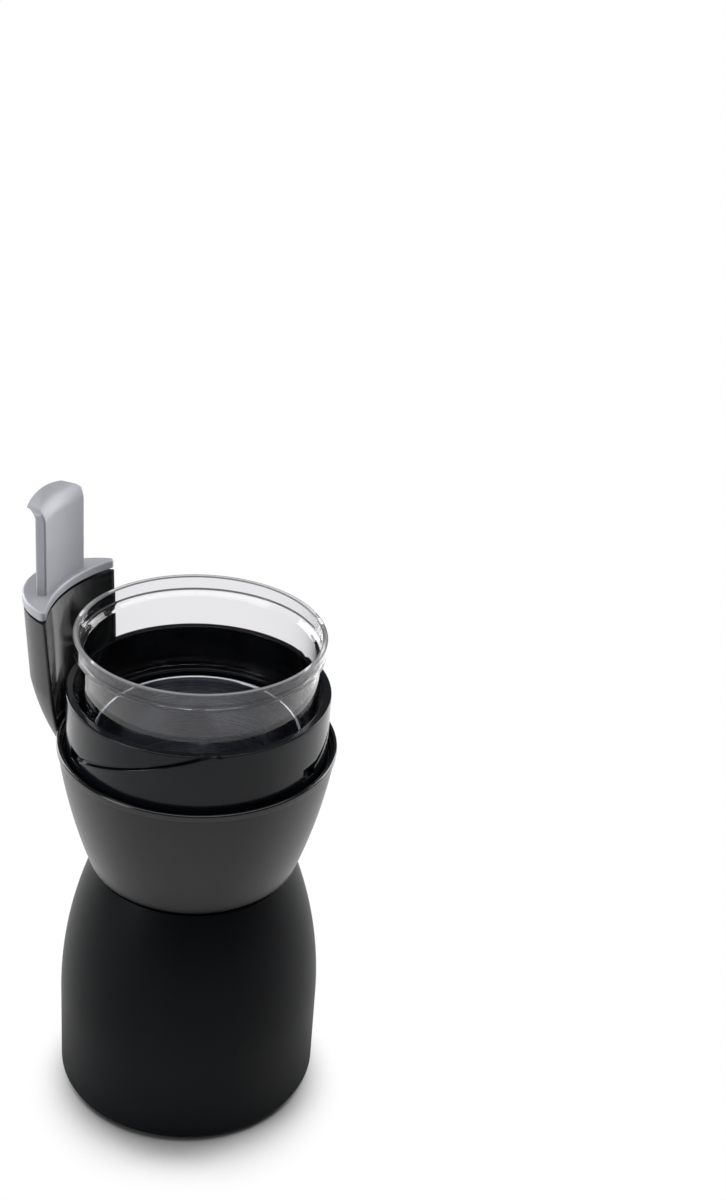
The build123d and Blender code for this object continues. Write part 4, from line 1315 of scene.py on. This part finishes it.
@dataclass
class BowlAndHopper:
    """The clear ring that stands in the collar, and the steel bowl with its blade."""

    shelf: float = 163.5
    hopper_height: float = 39.9
    hopper_radius: float = 45.0
    hopper_wall: float = 1.8
    band_radius: float = 47.2
    band_height: float = 6.4
    band_wall: float = 2.0
    slope: float = 1.6
    line_reach: float = 0.45
    edge_reach: float = 0.5
    bowl_radius: float = 38.9
    bowl_wall: float = 0.8
    bowl_floor: float = 111.3
    bowl_rim: float = 160.75
    corner: float = 10.0
    roll_middle: float = 39.15
    roll_radius: float = 1.05
    roll_points: int = 13
    roll_start: float = 200.0
    roll_step: float = 20.0
    under_roll: Point = (0.9, 1.2)
    arc_steps: int = 14
    hub_top: float = 113.3
    hub_bore: float = 9.2
    hub_radius: float = 12.2
    hub_foot: float = 13.0
    hub_inside: float = 11.4
    blade_rounding: float = 0.15

    def clear_ring(self) -> Piece:
        """Build the clear wall over the bowl, with its wider band.

        Returns:
            The new piece.
        """
        top = self.shelf + self.hopper_height
        step = top - self.band_height
        low = step - self.slope
        inner = self.hopper_radius - self.hopper_wall
        band_inner = self.band_radius - self.band_wall
        outline = Profile().to((inner, self.shelf, 0.4), (self.hopper_radius, self.shelf, 0.4))
        outline.to((self.hopper_radius, low, 0.6), (self.band_radius, step, 0.8))
        outline.to((self.band_radius, top, 0.5), (band_inner, top, 0.5))
        outline.to((band_inner, step, 0.6), (inner, low, 0.6))
        return mesh_object("clear_ring", turned(outline, segments=384))

    def paint_edge_lines(self, ring: Piece) -> None:
        """Paint grey lines on the ring's top edge and the line of its step: painted shade and
        reflection of edges seen through.

        Args:
            ring: The clear ring.
        """
        top = self.shelf + self.hopper_height
        step = top - self.band_height
        # Painted edge lines: the faces of the top edge and the step's line get a grey finish of
        # painted shade and reflection.
        ring.data.materials.append(Look.CLEAR_EDGE.material())
        for face in ring.data.polygons:
            height = face.center.z / MM
            reach = math.hypot(face.center.x, face.center.y) / MM
            outside = reach > self.band_radius - self.edge_reach
            on_step = outside and abs(height - step) < self.line_reach
            if height > top - self.edge_reach or on_step:
                face.material_index = 1

    def steel_bowl(self) -> Piece:
        """Build the drawn bowl with its rolled rim and raised hub.

        Returns:
            The new piece.
        """
        inner, outer = self.bowl_radius - self.bowl_wall, self.bowl_radius
        low, under = self.bowl_floor, self.bowl_floor - self.bowl_wall
        hub, hub_under = self.hub_top, self.hub_top - self.bowl_wall
        rim, roll = self.bowl_rim, self.roll_radius
        inside, outside = (rim - drop for drop in self.under_roll)
        outline = Profile(arc_steps=self.arc_steps)
        outline.to((self.hub_bore, hub), (self.hub_radius, hub, 0.8), (self.hub_foot, low, 0.8))
        outline.to((inner, low, self.corner), (inner, inside))
        for step in range(self.roll_points):
            angle = math.radians(self.roll_start - self.roll_step * step)
            outline.to((self.roll_middle + roll * math.cos(angle), rim + roll * math.sin(angle)))
        outline.to((outer, outside), (outer, under, self.corner + self.bowl_wall))
        outline.to((self.hub_radius, under, 0.6), (self.hub_inside, hub_under, 0.6))
        outline.to((self.hub_bore, hub_under))
        return mesh_object("drawn_bowl", turned(outline))

    def build(self) -> None:
        """Build and dress the ring, the bowl and the blade."""
        ring = self.clear_ring()
        dress(ring, Look.CLEAR, "hopper", "clear_plastic", "clear_hopper_ring")
        self.paint_edge_lines(ring)
        dress(self.steel_bowl(), Look.BOWL_STEEL, "body", "bowl_steel", "grinding_bowl")
        blade = rounded_copy("bent_blade", "grinding_blade", self.blade_rounding)
        dress(blade, Look.BLADE_STEEL, "rotor", "blade_steel", "grinding_blade")
        repaint(Look.COVER_BLACK, "blade_nut", "blade_hub")
        repaint(Look.RUBBER, "shaft_seal")


@dataclass
class Column:
    """The column at the side, its panel, and the pulse lever on its spring."""

    travel: float = 1.3
    case_rounding: float = 0.3
    panel_rounding: float = 0.2
    lever_rounding: float = 0.5
    spring: Coil = Coil(radius=3.0, wire=0.35, length=13.5, turns=5.0, foot=(-62.6, 0.0, 192.6))

    def return_spring(self) -> None:
        """Build the spring, whose top rides on the lever."""
        piece = self.spring.build("pulse_spring", Look.PLATED)
        dress(piece, Look.PLATED, "pulse_lever", "spring_steel", "lever_return_spring")
        x, y, z = self.spring.foot
        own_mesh(piece)

    def build(self) -> None:
        """Build and dress the column and the lever."""
        case = rounded_copy("column_case", "column_shell", self.case_rounding)
        panel = rounded_copy("column_panel", "column_fascia", self.panel_rounding)
        lever = rounded_copy("thumb_lever", "pulse_lever", self.lever_rounding)
        dress(case, Look.COLUMN_BLACK, "body", "satin_black", "column_shell")
        dress(panel, Look.PANEL_BLACK, "body", "gloss_black", "column_fascia")
        dress(lever, Look.SILVER, "pulse_lever", "lever_silver", "pulse_lever")
        self.return_spring()
        repaint(Look.PLATED, "lever_push_rod")
        repaint(Look.COVER_BLACK, "switch_body", "switch_bracket")
        repaint(Look.RED_NYLON, "switch_button")


@dataclass
class Motor:
    """The universal motor inside the bell, all carried over from the CAD model."""

    looks: tuple[tuple[Look, tuple[str, ...]], ...] = (
        (Look.RUBBER, ("motor_mounts",)),
        (Look.PLATED, ("motor_screws", "motor_bolts", "motor_shaft")),
        (Look.ALLOY, ("upper_bracket", "lower_bracket")),
        (Look.BRONZE, ("upper_bearing", "lower_bearing", "brush_holders")),
        (Look.LAMINATION, ("stator_core", "armature_core")),
        (Look.COPPER, ("field_coils", "armature_windings", "commutator")),
        (Look.COVER_BLACK, ("carbon_brushes",)),
        (Look.NYLON, ("cooling_fan",)),
    )

    def build(self) -> None:
        """Paint every piece of the motor."""
        for look, nodes in self.looks:
            repaint(look, *nodes)


@dataclass(frozen=True)
class SoftLight:
    """A soft light in metres and watts, placed by degrees to the right of straight behind."""

    name: str
    turn: float
    reach: float
    height: float
    size: Point
    power: float


@dataclass
class Studio:
    """Pale floor, soft lights and the photograph's camera; all but lens and sensor in metres."""

    camera_place: Place = (0.2402, -0.5036, 0.5072)
    heading: float = 109.45
    pitch: float = 27.21
    roll: float = 4.76
    lens: float = 51.08
    sensor: float = 36.0
    clip: Point = (0.02, 60.0)
    floor_reach: float = 12.0
    shadow_shift: Point = (0.0077, -0.0162)
    shadow_reach: Point = (0.040, 0.066)
    # Painted contact shadow: the floor's colour darkens to a grey where the object is near, by
    # ambient occlusion.
    contact_shadow_reach: float = 0.026
    contact_shadow_step: Point = (0.3, 1.0)
    contact_shadow_grey: float = 0.16
    paper_grey: float = 0.80
    quiet: float = 0.16
    aim: Place = (0.0, 0.0, 0.12)
    # A big top light, a tall one on either side and a weak one in front.
    soft_lights: tuple[SoftLight, ...] = (
        SoftLight("top_light", turn=0.0, reach=0.0, height=1.6, size=(1.8, 1.8), power=24.0),
        SoftLight("right_light", turn=52.0, reach=1.0, height=0.35, size=(0.5, 1.1), power=11.0),
        SoftLight("left_light", turn=-56.0, reach=1.0, height=0.35, size=(0.5, 1.1), power=11.0),
        SoftLight("front_light", turn=-125.0, reach=1.2, height=0.5, size=(0.5, 0.7), power=6.5),
    )

    def floor(self) -> None:
        """A wide pale floor that keeps the object's shadow, darkens with a painted contact shadow
        near the object, and fades to white for the camera.
        """
        shape = bmesh.new()
        bmesh.ops.create_grid(shape, x_segments=8, y_segments=8, size=self.floor_reach)
        made = mesh_object("studio_floor", shape)
        material = bpy.data.materials.new("pale_floor")
        material.use_nodes = True
        graph = Graph(material.node_tree)
        seen = graph.seen()
        x, y, _ = graph.axes()
        reach = graph.reach(x - self.shadow_shift[0], y - self.shadow_shift[1])
        away = reach.step(*self.shadow_reach)
        # Painted shadow: ambient occlusion darkens the floor's colour near the object.
        occlusion_inputs = {"Distance": self.contact_shadow_reach}
        shadow = graph.value("ShaderNodeAmbientOcclusion", occlusion_inputs, "AO", samples=16)
        dark, pale = shade(self.contact_shadow_grey), shade(self.paper_grey)
        colour = graph.blend(shadow.step(*self.contact_shadow_step), dark, pale)
        paper = graph.output("ShaderNodeBsdfDiffuse", {"Color": colour})
        far = graph.output("ShaderNodeEmission", {"Color": shade(1.0), "Strength": 1.0})
        both = graph.output("ShaderNodeMixShader", {0: seen * away, 1: paper, 2: far})
        graph.node("ShaderNodeOutputMaterial", {"Surface": both})
        made.data.materials.append(material)
        made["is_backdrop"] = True

    def world(self) -> None:
        """White for the camera and through clear plastic, and a quiet grey for the rest."""
        world = bpy.data.worlds.new("studio")
        bpy.context.scene.world = world
        world.use_nodes = True
        graph = Graph(world.node_tree)
        strength = self.quiet + (1.0 - self.quiet) * graph.seen()
        light = {"Color": shade(1.0), "Strength": strength}
        back = graph.output("ShaderNodeBackground", light)
        graph.node("ShaderNodeOutputWorld", {"Surface": back})

    def lamp(self, light: SoftLight) -> None:
        """Add one soft light that points at the object and isn't seen itself.

        Args:
            light: The light.
        """
        angle = math.radians(self.heading - light.turn)
        x, y = light.reach * math.cos(angle), light.reach * math.sin(angle)
        place = Vector((x, y, light.height))
        data = bpy.data.lights.new(light.name, "AREA")
        data.shape = "RECTANGLE"
        data.size, data.size_y = light.size
        data.energy = light.power
        made = bpy.data.objects.new(light.name, data)
        made.location = place
        towards = Vector(self.aim) - place
        made.rotation_euler = towards.to_track_quat("-Z", "Y").to_euler()
        made.visible_camera = False
        bpy.context.scene.collection.objects.link(made)

    def camera(self) -> None:
        """The camera, from the fit of the housing's round edges."""
        heading, pitch = math.radians(self.heading), math.radians(self.pitch)
        level = math.cos(pitch)
        ahead = (level * math.cos(heading), level * math.sin(heading), -math.sin(pitch))
        forward = Vector(ahead)
        right = Vector((math.sin(heading), -math.cos(heading), 0.0))
        rise = right.cross(forward)
        turn = math.radians(self.roll)
        across = math.cos(turn) * right + math.sin(turn) * rise
        above = math.cos(turn) * rise - math.sin(turn) * right
        data = bpy.data.cameras.new("studio_camera")
        data.sensor_fit = "VERTICAL"
        data.sensor_height = self.sensor
        data.lens = self.lens
        data.clip_start, data.clip_end = self.clip
        made = bpy.data.objects.new("studio_camera", data)
        rotation = Matrix((across, above, -forward)).transposed()
        made.matrix_world = Matrix.Translation(self.camera_place) @ rotation.to_4x4()
        bpy.context.scene.collection.objects.link(made)
        bpy.context.scene.camera = made

    def build(self) -> None:
        """Set the whole studio."""
        self.floor()
        self.world()
        for light in self.soft_lights:
            self.lamp(light)
        self.camera()
        bpy.context.scene.view_settings.view_transform = "Standard"


def main() -> None:
    """Build the grinder and the studio, and work out the sizes before and after."""
    logging.basicConfig(level=logging.INFO, format="%(name)s %(message)s")
    at_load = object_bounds()
    for assembly in (Housing(), Collar(), BowlAndHopper(), Column(), Motor(), Studio()):
        assembly.build()
    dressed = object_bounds()
    boxes = {"cad": at_load, "scene": dressed}
    sizes = {name: [list(corner) for corner in box] for name, box in boxes.items()}


if __name__ == "__main__":
    main()
